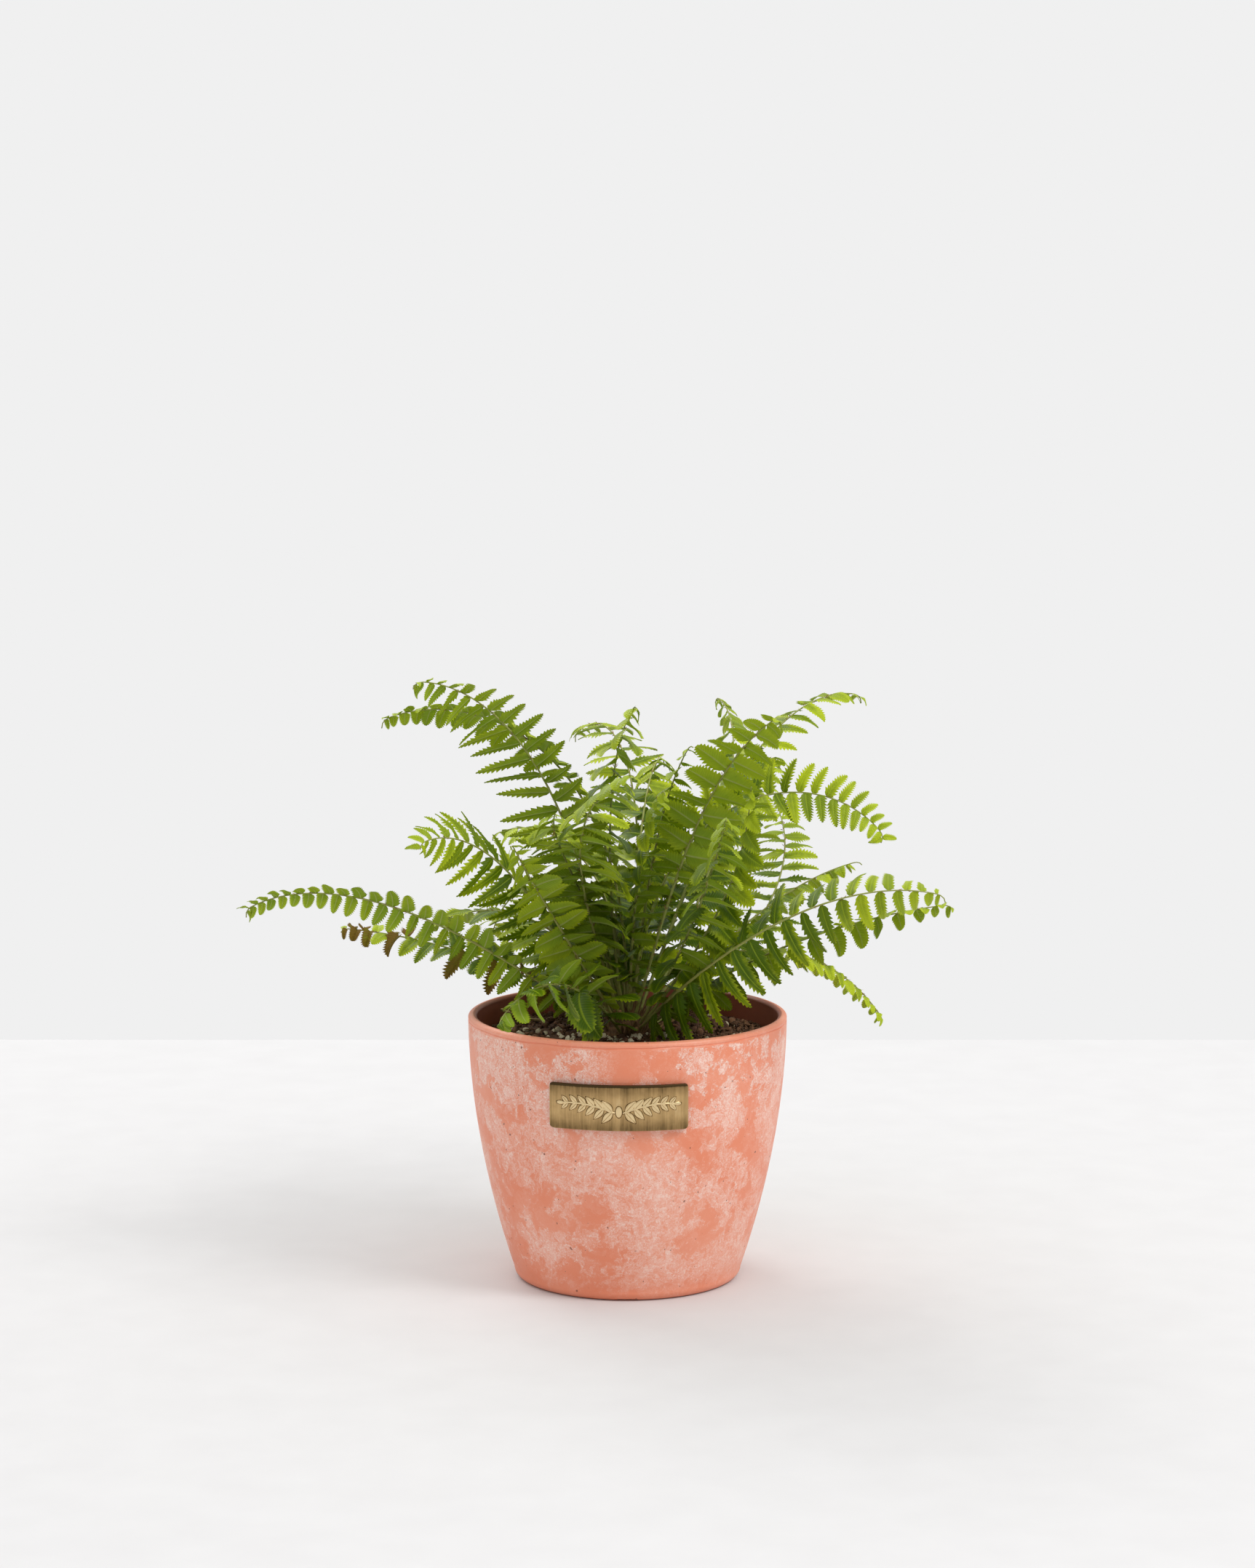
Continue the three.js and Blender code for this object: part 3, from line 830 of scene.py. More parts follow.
def soil_finish(soil):
    """Peat with perlite and bark. The mark on each grain says which it is."""
    f = Finish("Potting soil")
    kind = f.attribute("kind")
    tint = f.attribute("tint")
    fine = f.noise(f.place(), 900, 5, 0.65)
    peat = f.mix(tint * 0.7 + (fine - 0.5) * 0.8, opaque(soil.peat), srgb("8d6548"))
    peat = f.mix(fine.between(0.52, 0.3) * 0.6, peat, srgb("1c120b"))
    pale = f.mix(tint * 0.6 + (fine - 0.5) * 0.6, opaque(soil.perlite), srgb("a89a78"))
    bark = f.mix(fine, srgb("4a2f1c"), srgb("8a6442"))
    base = f.mix(kind.between(0.4, 0.6), peat, bark)
    base = f.mix(kind.between(0.9, 1.0), base, pale)
    return f.end({"Base Color": base, "Roughness": 0.92,
                  "Normal": f.bump(fine, 0.0004), "Specular IOR Level": 0.25})


class FERN_OT_soil(bpy.types.Operator):
    """Fills the pot with soil and scatters crumbs, bark and perlite on it"""
    bl_idname = "fern.soil"
    bl_label = "Soil"

    def execute(self, context):
        pot, soil = context.scene.fern_pot, context.scene.fern_soil
        random = np.random.default_rng(11)
        edge = soil.edge / MM
        rim = float(inner_radius(pot, edge)) - 0.05
        foot = FLOOR + pot.foot / MM
        side = [(float(inner_radius(pot, z)) - 0.3, z) for z in np.linspace(foot, edge - 1.0, 8)]
        top = [(r, float(soil_height(pot, soil, r))) for r in np.linspace(rim, 0.8, SOIL_RINGS)]
        profile = [(0, FLOOR + 0.3), (side[0][0] - 4, FLOOR + 0.3), *side, *top,
                   (0, float(soil_height(pot, soil, 0)))]
        points, faces = lathe(profile, SOIL_STEPS)
        surface = points[:, 2] > edge - 0.5
        lifted = points[surface]
        points[surface, 2] += sum(rough(lifted, size, seed, 3) * high for size, seed, high in SOIL_SWELLS)
        shape = Shape()
        shape.add(points, faces, kind=0.0, tint=0.35)

        def scatter(count, low, high, power, limit=None):
            sizes = low + (high - low) * random.random(count) ** power
            radius = np.sqrt(random.uniform(0.02, 1, count)) * (rim - 1.0 - sizes / 2)
            angle = random.uniform(0, 2 * math.pi, count)
            if limit is not None:
                angle = np.radians(limit[0] + (limit[1] - limit[0]) * random.random(count))
            x, y = radius * np.cos(angle), radius * np.sin(angle)
            z = soil_height(pot, soil, radius) + sizes * random.uniform(0.0, 0.32, count)
            return np.stack([x, y, z], axis=1), sizes

        for one_in, low, high, power, parts in CRUMB_SORTS:
            centres, sizes = scatter(soil.crumbs // one_in, low, high, power)
            grains, corners, each = rubble(random, centres, sizes, 0.45, parts, 0.3)
            shape.add(grains, [corners], kind=0.0, tint=np.repeat(random.random(len(sizes)), each))
        for limit in PERLITE_SIDES:
            centres, sizes = scatter(soil.grains, 1.6, 4.0, 1.3, limit)
            grains, corners, each = rubble(random, centres, sizes, 0.6, 1, 0.16)
            tint = np.repeat(random.random(soil.grains) ** 1.5, each)
            shape.add(grains, [corners], kind=1.0, tint=tint)
        centres, sizes = scatter(CHIPS, 3.0, 8.5, 1.5)
        heading = random.uniform(0, 2 * math.pi, len(centres))
        pointing = unit(np.stack([np.cos(heading), np.sin(heading),
                                  random.uniform(-0.15, 0.3, len(centres))], axis=1))
        facing = unit(np.array([0, 0, 1.0]) + 0.4 * random.normal(size=(len(centres), 3)))
        chips, corners = flakes(centres - pointing * sizes[:, None] / 2, pointing, facing,
                                sizes, sizes * random.uniform(0.18, 0.5, len(sizes)), 0.35)
        shape.add(chips, [corners], kind=0.7, tint=0.5)
        shape.build("soil", [soil_finish(soil)], ["soil"], sharp=0)
        return {"FINISHED"}


# ---------------------------------------------------------------- crown and dry stalk

ROOT_RADIUS = 8
CROWN_STEPS = 96
CROWN_SCALES = 420
STUB_RINGS, STUB_SIDES = 7, 7
TWIG_RADIUS = 0.8
TWIG_KNOTS = ((16, 146, 0), (10, 149, 0.8), (4, 151, 3.2), (0, 152, 5))  # off the wall, heading, lift
TWIG_RINGS, TWIG_SIDES = 40, 14


def bark_finish(crown):
    """Scaly brown rootstock."""
    f = Finish("Rootstock")
    fibres = f.noise(f.place((1, 1, 0.2)), 900, 5, 0.65)
    tint = f.attribute("tint")
    base = f.mix(fibres.between(0.3, 0.7), opaque(crown.bark), srgb("7c5a36"))
    base = f.mix(tint * 0.8, base, srgb("9a7a48"))
    return f.end({"Base Color": base, "Roughness": 0.85, "Normal": f.bump(fibres, 0.0003)})


def straw_finish(crown):
    """Dry stalk, streaked along its length."""
    f = Finish("Dry stalk")
    streaks = f.noise(f.place((0.5, 0.5, 1.5)), 1400, 4, 0.7)
    blotches = f.noise(f.place(), 300, 4).between(0.45, 0.65)
    base = f.mix(streaks, opaque(crown.straw), srgb("d4bd8c"))
    base = f.mix(blotches * 0.6, base, srgb("6a4f30"))
    return f.end({"Base Color": base, "Roughness": 0.8, "Normal": f.bump(streaks, 0.0002)})


class FERN_OT_crown(bpy.types.Operator):
    """Builds the scaly crown with its old stalk stubs and root plug"""
    bl_idname = "fern.crown"
    bl_label = "Crown"

    def execute(self, context):
        crown = context.scene.fern_crown
        random = np.random.default_rng(23)
        radius, height, depth = crown.radius / MM, crown.height / MM, crown.depth / MM
        dome = [(radius * math.cos(a), height + radius * math.sin(a))
                for a in np.radians(np.linspace(-30, 89, 40))]
        profile = [(0, height - depth), (ROOT_RADIUS, height - depth), *dome, (0, height + radius)]
        points, faces = lathe(profile, CROWN_STEPS)
        outward = unit(points - np.array([0, 0, height - 2]))
        points -= outward * (0.9 + rough(points, 5, 4.0)[:, None] * 0.9)
        shape = Shape()
        shape.add(points, faces, tint=0.1)
        for _ in range(crown.stubs):
            heading = random.uniform(0, 2 * math.pi)
            rise = math.radians(random.uniform(20, 80))
            way = np.array([math.cos(rise) * math.cos(heading),
                            math.cos(rise) * math.sin(heading), math.sin(rise)])
            start = np.array([0, 0, height]) + way * (radius - 3)
            reach = random.uniform(4, 11)
            bend = np.array([0, 0, -1.0]) * random.uniform(0, 0.25)
            steps = np.linspace(0, 1, STUB_RINGS)[:, None]
            path = start + way * steps * (reach + 2) + bend * steps ** 2 * reach
            thick = np.linspace(1.5, 0.8, STUB_RINGS) * random.uniform(0.7, 1.1)
            stub, stub_faces = tube(path, thick, STUB_SIDES)
            shape.add(stub, stub_faces, tint=random.uniform(0.2, 0.9))
        count = CROWN_SCALES
        way = unit(random.normal(size=(count, 3)) + np.array([0, 0, 0.7]))
        way[:, 2] = np.abs(way[:, 2])
        roots = np.array([0, 0, height]) + way * (radius - 1.2)
        pointing = unit(np.array([0, 0, 1.0]) + way * 0.6 + random.normal(size=(count, 3)) * 0.35)
        scales, scale_faces = flakes(roots, pointing, way, random.uniform(2.5, 6.0, count),
                                     random.uniform(0.5, 1.1, count), 0.1)
        shape.add(scales, [scale_faces], tint=np.repeat(random.random(count), 6))
        shape.build("crown", [bark_finish(crown)], ["crown"], sharp=40)
        return {"FINISHED"}


class FERN_OT_dry_stalk(bpy.types.Operator):
    """Lays a dry stalk from the soil to the back left of the wall"""
    bl_idname = "fern.dry_stalk"
    bl_label = "Dry stalk"

    def execute(self, context):
        pot, soil, crown = context.scene.fern_pot, context.scene.fern_soil, context.scene.fern_crown
        random = np.random.default_rng(31)
        wall_end = float(inner_radius(pot, pot.height / MM)) - SEAT - 2 * TWIG_RADIUS
        knots = []
        for back, heading, lift in TWIG_KNOTS:
            out = wall_end - back
            knots.append([out * math.cos(math.radians(heading)), out * math.sin(math.radians(heading)),
                          float(soil_height(pot, soil, out)) + SEAT + TWIG_RADIUS + lift])
        knots = np.array(knots)
        share = np.linspace(0, 1, len(knots))
        finer = np.linspace(0, 1, TWIG_RINGS)
        path = np.stack([np.interp(finer, share, knots[:, i]) for i in range(3)], axis=1)
        for _ in range(4):
            path[1:-1] = (path[:-2] + 2 * path[1:-1] + path[2:]) / 4
        thick = 1 + 0.12 * np.sin(finer * 19) + random.uniform(-0.08, 0.08, TWIG_RINGS)
        points, faces = tube(path, TWIG_RADIUS * thick, TWIG_SIDES, 0.8)
        shape = Shape()
        shape.add(points, faces)
        shape.build("dry_stalk", [straw_finish(crown)], ["dry_stalk"])
        return {"FINISHED"}


# ---------------------------------------------------------------- fronds

# The growth of each frond, as the CAD model has it. Angles are in degrees, lengths in millimetres:
# heading, sweep, rise, droop, late, length, reach, roll, hang, bare.
FRONDS = {
    "frond_low_left": (219, -60, 35, 70, 3.0, 172, 16, 75, 15, 0.25),
    "frond_old_left": (180, -10, 39, 36, 0.8, 116, 15, -20, -5, 0.3),
    "frond_mid_left": (210, 20, 55, 74, 3.4, 136, 24, -70, 20, 0.35),
    "frond_behind_left": (128, -15, 64, 148, 1.2, 154, 15, 10, -5, 0.3),
    "frond_high_left": (170, 15, 89, 116, 1.8, 188, 15, 35, -5, 0.35),
    "frond_upper_left": (180, 40, 76, 78, 2.8, 180, 24, 45, 10, 0.35),
    "frond_top_back": (76, 45, 64, 104, 2.8, 182, 20, -5, 0, 0.4),
    "frond_top_middle": (248, 45, 70, 38, 3.0, 158, 20, -15, 40, 0.4),
    "frond_inner_left": (234, 70, 65, 46, 1.0, 176, 20, 0, 15, 0.35),
    "frond_inner_low_left": (219, 60, 79, 62, 0.8, 140, 18, 0, 10, 0.35),
    "frond_front_left": (231, 25, 53, 18, 0.8, 124, 15, 37, 12, 0.3),
    "frond_tall_right": (305, 0, 66, 42, 2.4, 166, 20, -42, 2, 0.35),
    "frond_high_right": (30, 15, 66, 86, 2.8, 190, 17, 5, 0, 0.4),
    "frond_top_right": (38, 70, 52, 50, 3.0, 190, 15, -15, 35, 0.45),
    "frond_upper_right": (336, 15, 82, 140, 1.8, 170, 21, 62, -20, 0.35),
    "frond_inner_right": (331, -60, 51, -10, 3.4, 132, 18, 45, 35, 0.35),
    "frond_hooked_right": (33, 70, 27, 6, 2.8, 174, 18, -5, -5, 0.35),
    "frond_narrow_right": (27, -25, 42, 30, 2.8, 112, 13, -15, 30, 0.35),
    "frond_low_right": (300, 65, 37, 56, 3.2, 160, 22, 75, 35, 0.2),
    "frond_hanging_right": (331, 15, 39, 30, 1.0, 142, 15, -60, 40, 0.3),
    "frond_behind_right": (28, 0, 55, 112, 0.8, 136, 10, 0, 30, 0.4),
    "frond_middle": (277, 5, 73, 56, 1.6, 136, 11, 27, 30, 0.35),
    "frond_front_right": (306, -35, 48, 24, 3.6, 146, 18, 0, 30, 0.35),
    "frond_back_1": (60, 10, 49, 56, 2.0, 184, 19, 0, 10, 0.3),
    "frond_back_2": (89, 5, 36, 124, 3.6, 116, 19, 0, 35, 0.3),
    "frond_back_3": (116, 35, 81, 112, 1.6, 120, 19, -5, 0, 0.3),
    "frond_back_4": (121, 0, 29, 50, 2.6, 96, 19, -15, -5, 0.3),
    "frond_back_5": (161, 0, 66, 114, 1.2, 110, 19, 5, -5, 0.3),
    "frond_back_6": (74, 5, 79, 110, 3.0, 134, 19, 0, 25, 0.35),
    "frond_back_7": (101, 0, 66, 140, 3.0, 86, 19, 0, 20, 0.35),
    "frond_small_front": (256, -25, 30, 80, 3.0, 116, 18, 75, 25, 0.3),
    "frond_small_right": (298, 5, 76, 32, 3.0, 126, 14, -5, 15, 0.3),
}
ROLL_BY = 0.4
RIB_STEPS = 400

# Finer shape that only the visual model has.
RAKE = 0.24
CURL_FROM, TIP_CURL = 0.955, 95  # share from which the tip curls down, and by how many degrees
STALK_RINGS, STALK_SIDES, STALK_END = 90, 8, 0.995
STALK_THINNING = 0.68
STALK_BURIED = 3.0  # how far the stalk reaches into the crown
LEAFLETS_END, ROW_END = 0.985, 0.99
LAST_GAP = 0.012
YOUNG_FROM = 0.55
LEAST_LENGTH, LEAST_SHARE = 2.4, 0.19  # the shortest leaflet: this plus a share of the reach
FULL_SIZE = 18  # length of a leaflet whose teeth, veins and waves are full size
UP = np.array([0, 0, 1.0])
LEAF, STALK, SCALES = range(3)

# What differs from the usual leaflet on some fronds:
# pitch    spacing against the usual one
# plump    width against the spacing
# point    0 for a blunt tip, 1 for a sharp one
# bend     how far the leaflets curve down, in degrees
# saw      depth of the teeth against the usual one
# shade_and_tone below 0 darker, above 0 lighter; the darkening is partly painted shade, partly age
# fuzz     scales along the midrib
# old      share of the leaflets that have browned
# louvre   how far each leaflet turns its upper side to the sky
# low      where the leaflets begin, against the CAD model's outline
# fresh    how young the tip looks
# rake     how far the leaflets point towards the frond's tip
# size     length of the leaflets against the CAD model's outline
# taper    how late the leaflets shorten towards the tip
# sag      how far the leaflets of a lower row hang straight down
USUAL = {"pitch": 1.2, "plump": 0.78, "point": 0.15, "bend": 26, "saw": 1.0, "shade_and_tone": 0.0,
         "fuzz": 40, "old": 0.0, "louvre": 0.8, "low": 0.25, "fresh": 1.0, "rake": RAKE, "size": 1.0,
         "taper": 4.2, "sag": 0.0}
STYLES = {
    "frond_old_left": {"pitch": 0.9, "old": 0.35, "shade_and_tone": -0.1},
    "frond_mid_left": {"pitch": 0.8, "plump": 0.6, "point": 0.6, "bend": 14, "louvre": 0.1, "saw": 0.7},
    "frond_behind_left": {"shade_and_tone": 0.25, "plump": 0.65, "pitch": 0.85},
    "frond_high_left": {"plump": 0.85, "point": 0.05, "bend": 40, "pitch": 0.9},
    "frond_upper_left": {"pitch": 1.0, "plump": 0.56, "point": 0.6, "bend": 16, "shade_and_tone": 0.12,
                         "louvre": 0.3, "saw": 0.6},
    "frond_top_back": {"plump": 0.62, "point": 0.6, "shade_and_tone": 0.1},
    "frond_inner_left": {"shade_and_tone": -0.1, "pitch": 1.3, "louvre": 1.0, "low": 0.45},
    "frond_inner_low_left": {"shade_and_tone": -0.15, "pitch": 1.3, "louvre": 1.0, "low": 0.45},
    "frond_front_left": {"pitch": 1.2, "plump": 0.95, "point": 0.0, "fuzz": 130, "shade_and_tone": 0.15,
                         "louvre": 0.0, "bend": 22},
    "frond_tall_right": {"pitch": 1.25, "plump": 0.84, "point": 0.05, "fuzz": 150, "shade_and_tone": 0.12,
                         "louvre": 0.0, "bend": 18, "low": 1.15, "size": 0.84},
    "frond_upper_right": {"pitch": 0.8, "plump": 0.64, "point": 0.2, "shade_and_tone": 0.1, "louvre": 0.0,
                          "bend": 14, "size": 0.85},
    "frond_narrow_right": {"plump": 0.62, "point": 0.6},
    "frond_low_right": {"pitch": 1.05, "plump": 0.54, "point": 0.05, "saw": 0.65, "bend": 22,
                        "shade_and_tone": -0.1, "louvre": 0.0, "rake": 0.02, "sag": 1.1, "size": 1.08},
    "frond_small_front": {"pitch": 1.5, "plump": 1.0, "point": 0.0, "shade_and_tone": -0.8, "bend": 40,
                          "louvre": 0.9, "fresh": 0.0},
    "frond_low_left": {"pitch": 0.82, "plump": 0.72, "bend": 25, "shade_and_tone": -0.05, "size": 0.8, "taper": 2.2,
                       "sag": 0.4},
    "frond_small_right": {"pitch": 1.3, "bend": 35, "shade_and_tone": -0.3, "louvre": 1.2},
    "frond_middle": {"pitch": 1.3, "bend": 35, "shade_and_tone": -0.25, "louvre": 1.2},
    "frond_hanging_right": {"bend": 30, "taper": 3.0, "saw": 0.7, "fresh": 0.6},
    "frond_behind_right": {"shade_and_tone": 0.3, "plump": 0.72, "pitch": 0.85},
    "frond_front_right": {"pitch": 1.3, "shade_and_tone": -0.3, "louvre": 1.4},
    "frond_top_middle": {"pitch": 1.25, "louvre": 1.0, "plump": 0.85, "low": 0.5},
    "frond_top_right": {"louvre": 0.4, "plump": 0.85},
    "frond_inner_right": {"pitch": 1.2, "louvre": 1.0, "low": 0.5},
    "frond_hooked_right": {"pitch": 1.15, "saw": 1.2, "plump": 0.72},
}


class Growth:
    """A frond's course. It follows the CAD model's, except that the tip curls down."""

    def __init__(self, values, crown):
        (self.heading, self.sweep, self.rise, self.droop, self.late,
         self.length, self.reach, self.roll, self.hang, self.bare) = values
        middles = (np.arange(RIB_STEPS) + 0.5) / RIB_STEPS
        start = self.course(np.zeros(1))[0] * (crown.radius / MM + SEAT)
        start[2] += crown.height / MM
        moves = self.course(middles) * self.length / RIB_STEPS
        self.points = np.concatenate([[start], start + np.cumsum(moves, axis=0)])

    def course(self, share):
        curl = TIP_CURL * np.clip((share - CURL_FROM) / (1 - CURL_FROM), 0, 1) ** 2
        slope = np.radians(self.rise - self.droop * share ** self.late - curl)
        heading = np.radians(self.heading + self.sweep * share)
        return np.stack([np.cos(slope) * np.cos(heading), np.cos(slope) * np.sin(heading),
                         np.sin(slope)], axis=-1)

    def place(self, share):
        at = np.clip(share, 0, 1) * RIB_STEPS
        return np.stack([np.interp(at, np.arange(RIB_STEPS + 1), self.points[:, i])
                         for i in range(3)], axis=-1)

    def frame(self, share):
        """Course, side and up at shares of the length."""
        along = self.course(share)
        heading = np.radians(self.heading + self.sweep * share)
        side = np.stack([-np.sin(heading), np.cos(heading), np.zeros_like(heading)], axis=-1)
        roll = np.radians(self.roll) * np.minimum(1, share / ROLL_BY)
        side = turned_about(side, along, roll)
        return along, side, np.cross(along, side)


def reach_at(share, late=USUAL["taper"]):
    """How far leaflets reach at a share of the leafy length."""
    taper = np.clip(1 - share ** late, 0, None) ** 0.8
    return np.maximum(0.1, np.minimum(1, 0.6 + 2.2 * share) * taper)


COLUMNS = np.array([-1, -0.58, -0.14, 0, 0.14, 0.58, 1.0])  # across a leaflet, margin to margin
MIDDLE = len(COLUMNS) // 2
TOOTH_PEAK = 0.55  # where each tooth is widest, as a share of its length
BLADE_FROM = 0.035  # where the blade leaves the midrib, as a share of the leaflet
TIP_CROWDING = 1.25
JAG = 1.35  # height of the teeth's peaks against their depth
TOOTH_LEAN = 0.75


class LeafletCut:
    """The stations along a leaflet and the faces that join them."""

    def __init__(self, teeth):
        valleys = np.arange(teeth) / teeth
        peaks = (np.arange(teeth) + TOOTH_PEAK) / teeth
        raw = np.sort(np.concatenate([valleys, peaks]))
        self.along = BLADE_FROM + (1 - BLADE_FROM) * (1 - (1 - raw) ** TIP_CROWDING)
        self.peak = np.tile([0.0, 1.0], teeth)
        self.peak[:2] = 0.0
        self.stations = len(self.along)
        wide = len(COLUMNS)
        top = np.arange(self.stations * wide).reshape(self.stations, wide)
        under = top.copy()
        inner = self.stations * (wide - 2)
        under[:, 1:-1] = top.size + np.arange(inner).reshape(self.stations, wide - 2)
        self.root = top.size + inner
        self.tip = self.root + 1
        self.count = self.root + 2
        quads, ends = [], []
        for sheet, flip in ((top, False), (under, True)):
            corners = np.stack([sheet[:-1, :-1], sheet[1:, :-1], sheet[1:, 1:], sheet[:-1, 1:]], axis=-1)
            corners = corners.reshape(-1, 4)
            root = np.stack([np.full(wide - 1, self.root), sheet[0, :-1], sheet[0, 1:]], axis=1)
            tip = np.stack([np.full(wide - 1, self.tip), sheet[-1, 1:], sheet[-1, :-1]], axis=1)
            fans = np.concatenate([root, tip])
            quads.append(corners[:, ::-1] if flip else corners)
            ends.append(fans[:, ::-1] if flip else fans)
        self.quads = np.concatenate(quads)
        self.ends = np.concatenate(ends)

    def widths(self, point):
        """Half widths at the stations on the side away from the frond's tip and towards it."""
        s = self.along
        blunt = (1 - s ** 3.6) ** 0.6
        sharp = (1 - s ** 1.7) ** 0.95
        body = blunt * (1 - point) + sharp * point
        body = body * (1 - 0.12 * s)
        away = body * (1 - np.exp(-s / 0.06)) + 0.10 * np.exp(-((s - 0.1) / 0.06) ** 2)
        towards = body * (1 - np.exp(-s / 0.028)) + 0.30 * np.exp(-((s - 0.085) / 0.055) ** 2)
        return away, towards

    def shape(self, set_of, thickness):
        """Points and marks of many leaflets. The values in set_of have one entry for each."""
        n = len(set_of["length"])
        s = self.along
        steps = np.concatenate([[0], s, [1.0]])
        bend = set_of["bend"][:, None] * steps
        curve = set_of["curve"][:, None] * steps
        x, y, z = (set_of[k][:, None] for k in ("out", "ahead", "up"))
        level = x * np.cos(curve)[..., None] + y * np.sin(curve)[..., None]
        course = level * np.cos(bend)[..., None] - z * np.sin(bend)[..., None]
        normal = level * np.sin(bend)[..., None] + z * np.cos(bend)[..., None]
        ahead = y * np.cos(curve)[..., None] - x * np.sin(curve)[..., None]
        twist = set_of["twist"][:, None] * (0.25 + 0.75 * steps)
        ahead, normal = (ahead * np.cos(twist)[..., None] + normal * np.sin(twist)[..., None],
                         normal * np.cos(twist)[..., None] - ahead * np.sin(twist)[..., None])
        gaps = np.diff(steps)[None, :, None] * set_of["length"][:, None, None]
        middles = (course[:, :-1] + course[:, 1:]) / 2
        centre = set_of["root"][:, None] + np.concatenate(
            [np.zeros((n, 1, 3)), np.cumsum(middles * gaps, axis=1)], axis=1)
        away, towards = self.widths(set_of["point"])
        half = set_of["half"][:, None, None]
        width = np.where(COLUMNS[None, :] < 0, away[:, None], towards[:, None])
        off = COLUMNS[None, None] * width[None] * half
        margin = np.abs(COLUMNS) == 1
        fade = np.clip(width[None] * 1.6, 0, 1)
        depth = set_of["tooth"][:, None, None] * fade * margin[None, None]
        jag = self.peak[None, :, None] * JAG
        off = off + np.sign(COLUMNS)[None, None] * depth * (jag - 0.35)
        pitch = set_of["length"][:, None, None] / self.stations
        forward = depth / np.maximum(set_of["tooth"][:, None, None], 1e-6) * pitch * jag
        forward = forward * TOOTH_LEAN
        spread = np.abs(off) / half
        wave = set_of["wave"][:, None, None] * np.sin(
            set_of["phase"][:, None, None] + s[None, :, None] * 9
            + np.sign(COLUMNS)[None, None] * 1.3) * spread ** 2
        lift = set_of["fold"][:, None, None] * np.abs(off) - set_of["camber"][:, None, None] \
            * off ** 2 / half + wave
        inside = slice(1, -1)
        base = (centre[:, inside, None] + ahead[:, inside, None] * off[..., None]
                + course[:, inside, None] * forward[..., None])
        rise = normal[:, inside, None]
        solid = thickness * set_of["scale"][:, None, None] / 2
        body = solid * (1 - np.abs(COLUMNS)[None, None] ** 6)
        groove = np.where(np.arange(len(COLUMNS)) == MIDDLE, 1.0, 0.0)[None, None]
        vein = 0.3 * set_of["scale"][:, None, None] * (1 - 0.7 * s[None, :, None])
        top = base + rise * (lift + body - groove * vein * 0.5)[..., None]
        under = base + rise * (lift - body - groove * vein)[..., None]
        points = np.concatenate([
            top.reshape(n, -1, 3), under[:, :, 1:-1].reshape(n, -1, 3),
            centre[:, :1], centre[:, -1:],
        ], axis=1)
        column = np.broadcast_to(COLUMNS[None], (self.stations, len(COLUMNS)))
        along = np.broadcast_to(s[:, None], column.shape)
        upper = np.where(np.abs(column) == 1, 0.5, 1.0)
        marks = {
            "along": np.concatenate([along.ravel(), along[:, 1:-1].ravel(), [0, 1]]),
            "across": np.concatenate([column.ravel(), column[:, 1:-1].ravel(), [0, 0]]),
            "upper": np.concatenate([upper.ravel(), np.zeros(column[:, 1:-1].size), [0.5, 0.5]]),
        }
        return points, marks


def leaf_finish(fronds):
    """Blade of a leaflet: deep green, paler towards its veins, and with painted shade that darkens its
    base and middle and lightens it towards its margins and tip.
    """
    f = Finish("Fern leaf")
    along, across = f.attribute("along"), f.attribute("across")
    tint, age, upper = f.attribute("tint"), f.attribute("age"), f.attribute("upper")
    young, size = f.attribute("young"), f.attribute("size")
    off = abs(across)
    blotch = f.noise(f.place(), 420, 4, 0.55)
    cells = f.noise(f.place(), 2600, 2, 0.5)
    side_veins = ((along * 34 - off * 5.0) * size * math.pi).sine()
    vein_line = side_veins.between(0.55, 1.0) * (1 - off.between(0.8, 1.0))
    rib = 1 - off.between(0.03, 0.13)
    broad = f.noise(f.place(), 95, 3, 0.5)
    # Painted shade: darker towards each leaflet's base and middle and lighter towards its margins and
    # tip. The blotches, the broad patches and the per-leaflet tint are the leaf's own colour, though the
    # tint also carries each frond's painted shade.
    shade = off.between(0.3, 1.0) * 0.5 + (along - 0.5) * 0.45 + (blotch - 0.5) * 0.6
    shade = shade + (tint - 0.5) * 0.95 + (broad - 0.5) * 0.9
    blade = f.mix(shade.between(-0.25, 0.95), opaque(fronds.blade), opaque(fronds.margin))
    blade = f.mix(vein_line * 0.12 + rib * 0.4, blade, opaque(fronds.young))
    blade = f.mix(young * 0.75, blade, opaque(fronds.young))
    back = f.mix((shade + 0.2).between(-0.3, 1.0), srgb("86a12a"), opaque(fronds.under))
    back = f.mix(rib * 0.6, back, srgb("b5b877"))
    green = f.mix(upper.between(0.2, 0.6), back, blade)
    edge = off.between(0.7, 1.0) * 0.4 + along.between(0.75, 1.0) * 0.35
    dry = (age * 1.6 + edge * age + (blotch - 0.5) * age).between(0.45, 1.0)
    base = f.mix(dry, green, opaque(fronds.old))
    roughness = 0.34 + (1 - upper) * 0.18 + dry * 0.3 + (cells - 0.5) * 0.12
    height = side_veins * 0.35 * (1 - rib) + cells * 0.35 + blotch * 0.5
    return f.end({"Base Color": base, "Roughness": roughness, "Specular IOR Level": 0.2,
                  "Normal": f.bump(height, 0.00012)}, (0.28, srgb("c4d60a")))


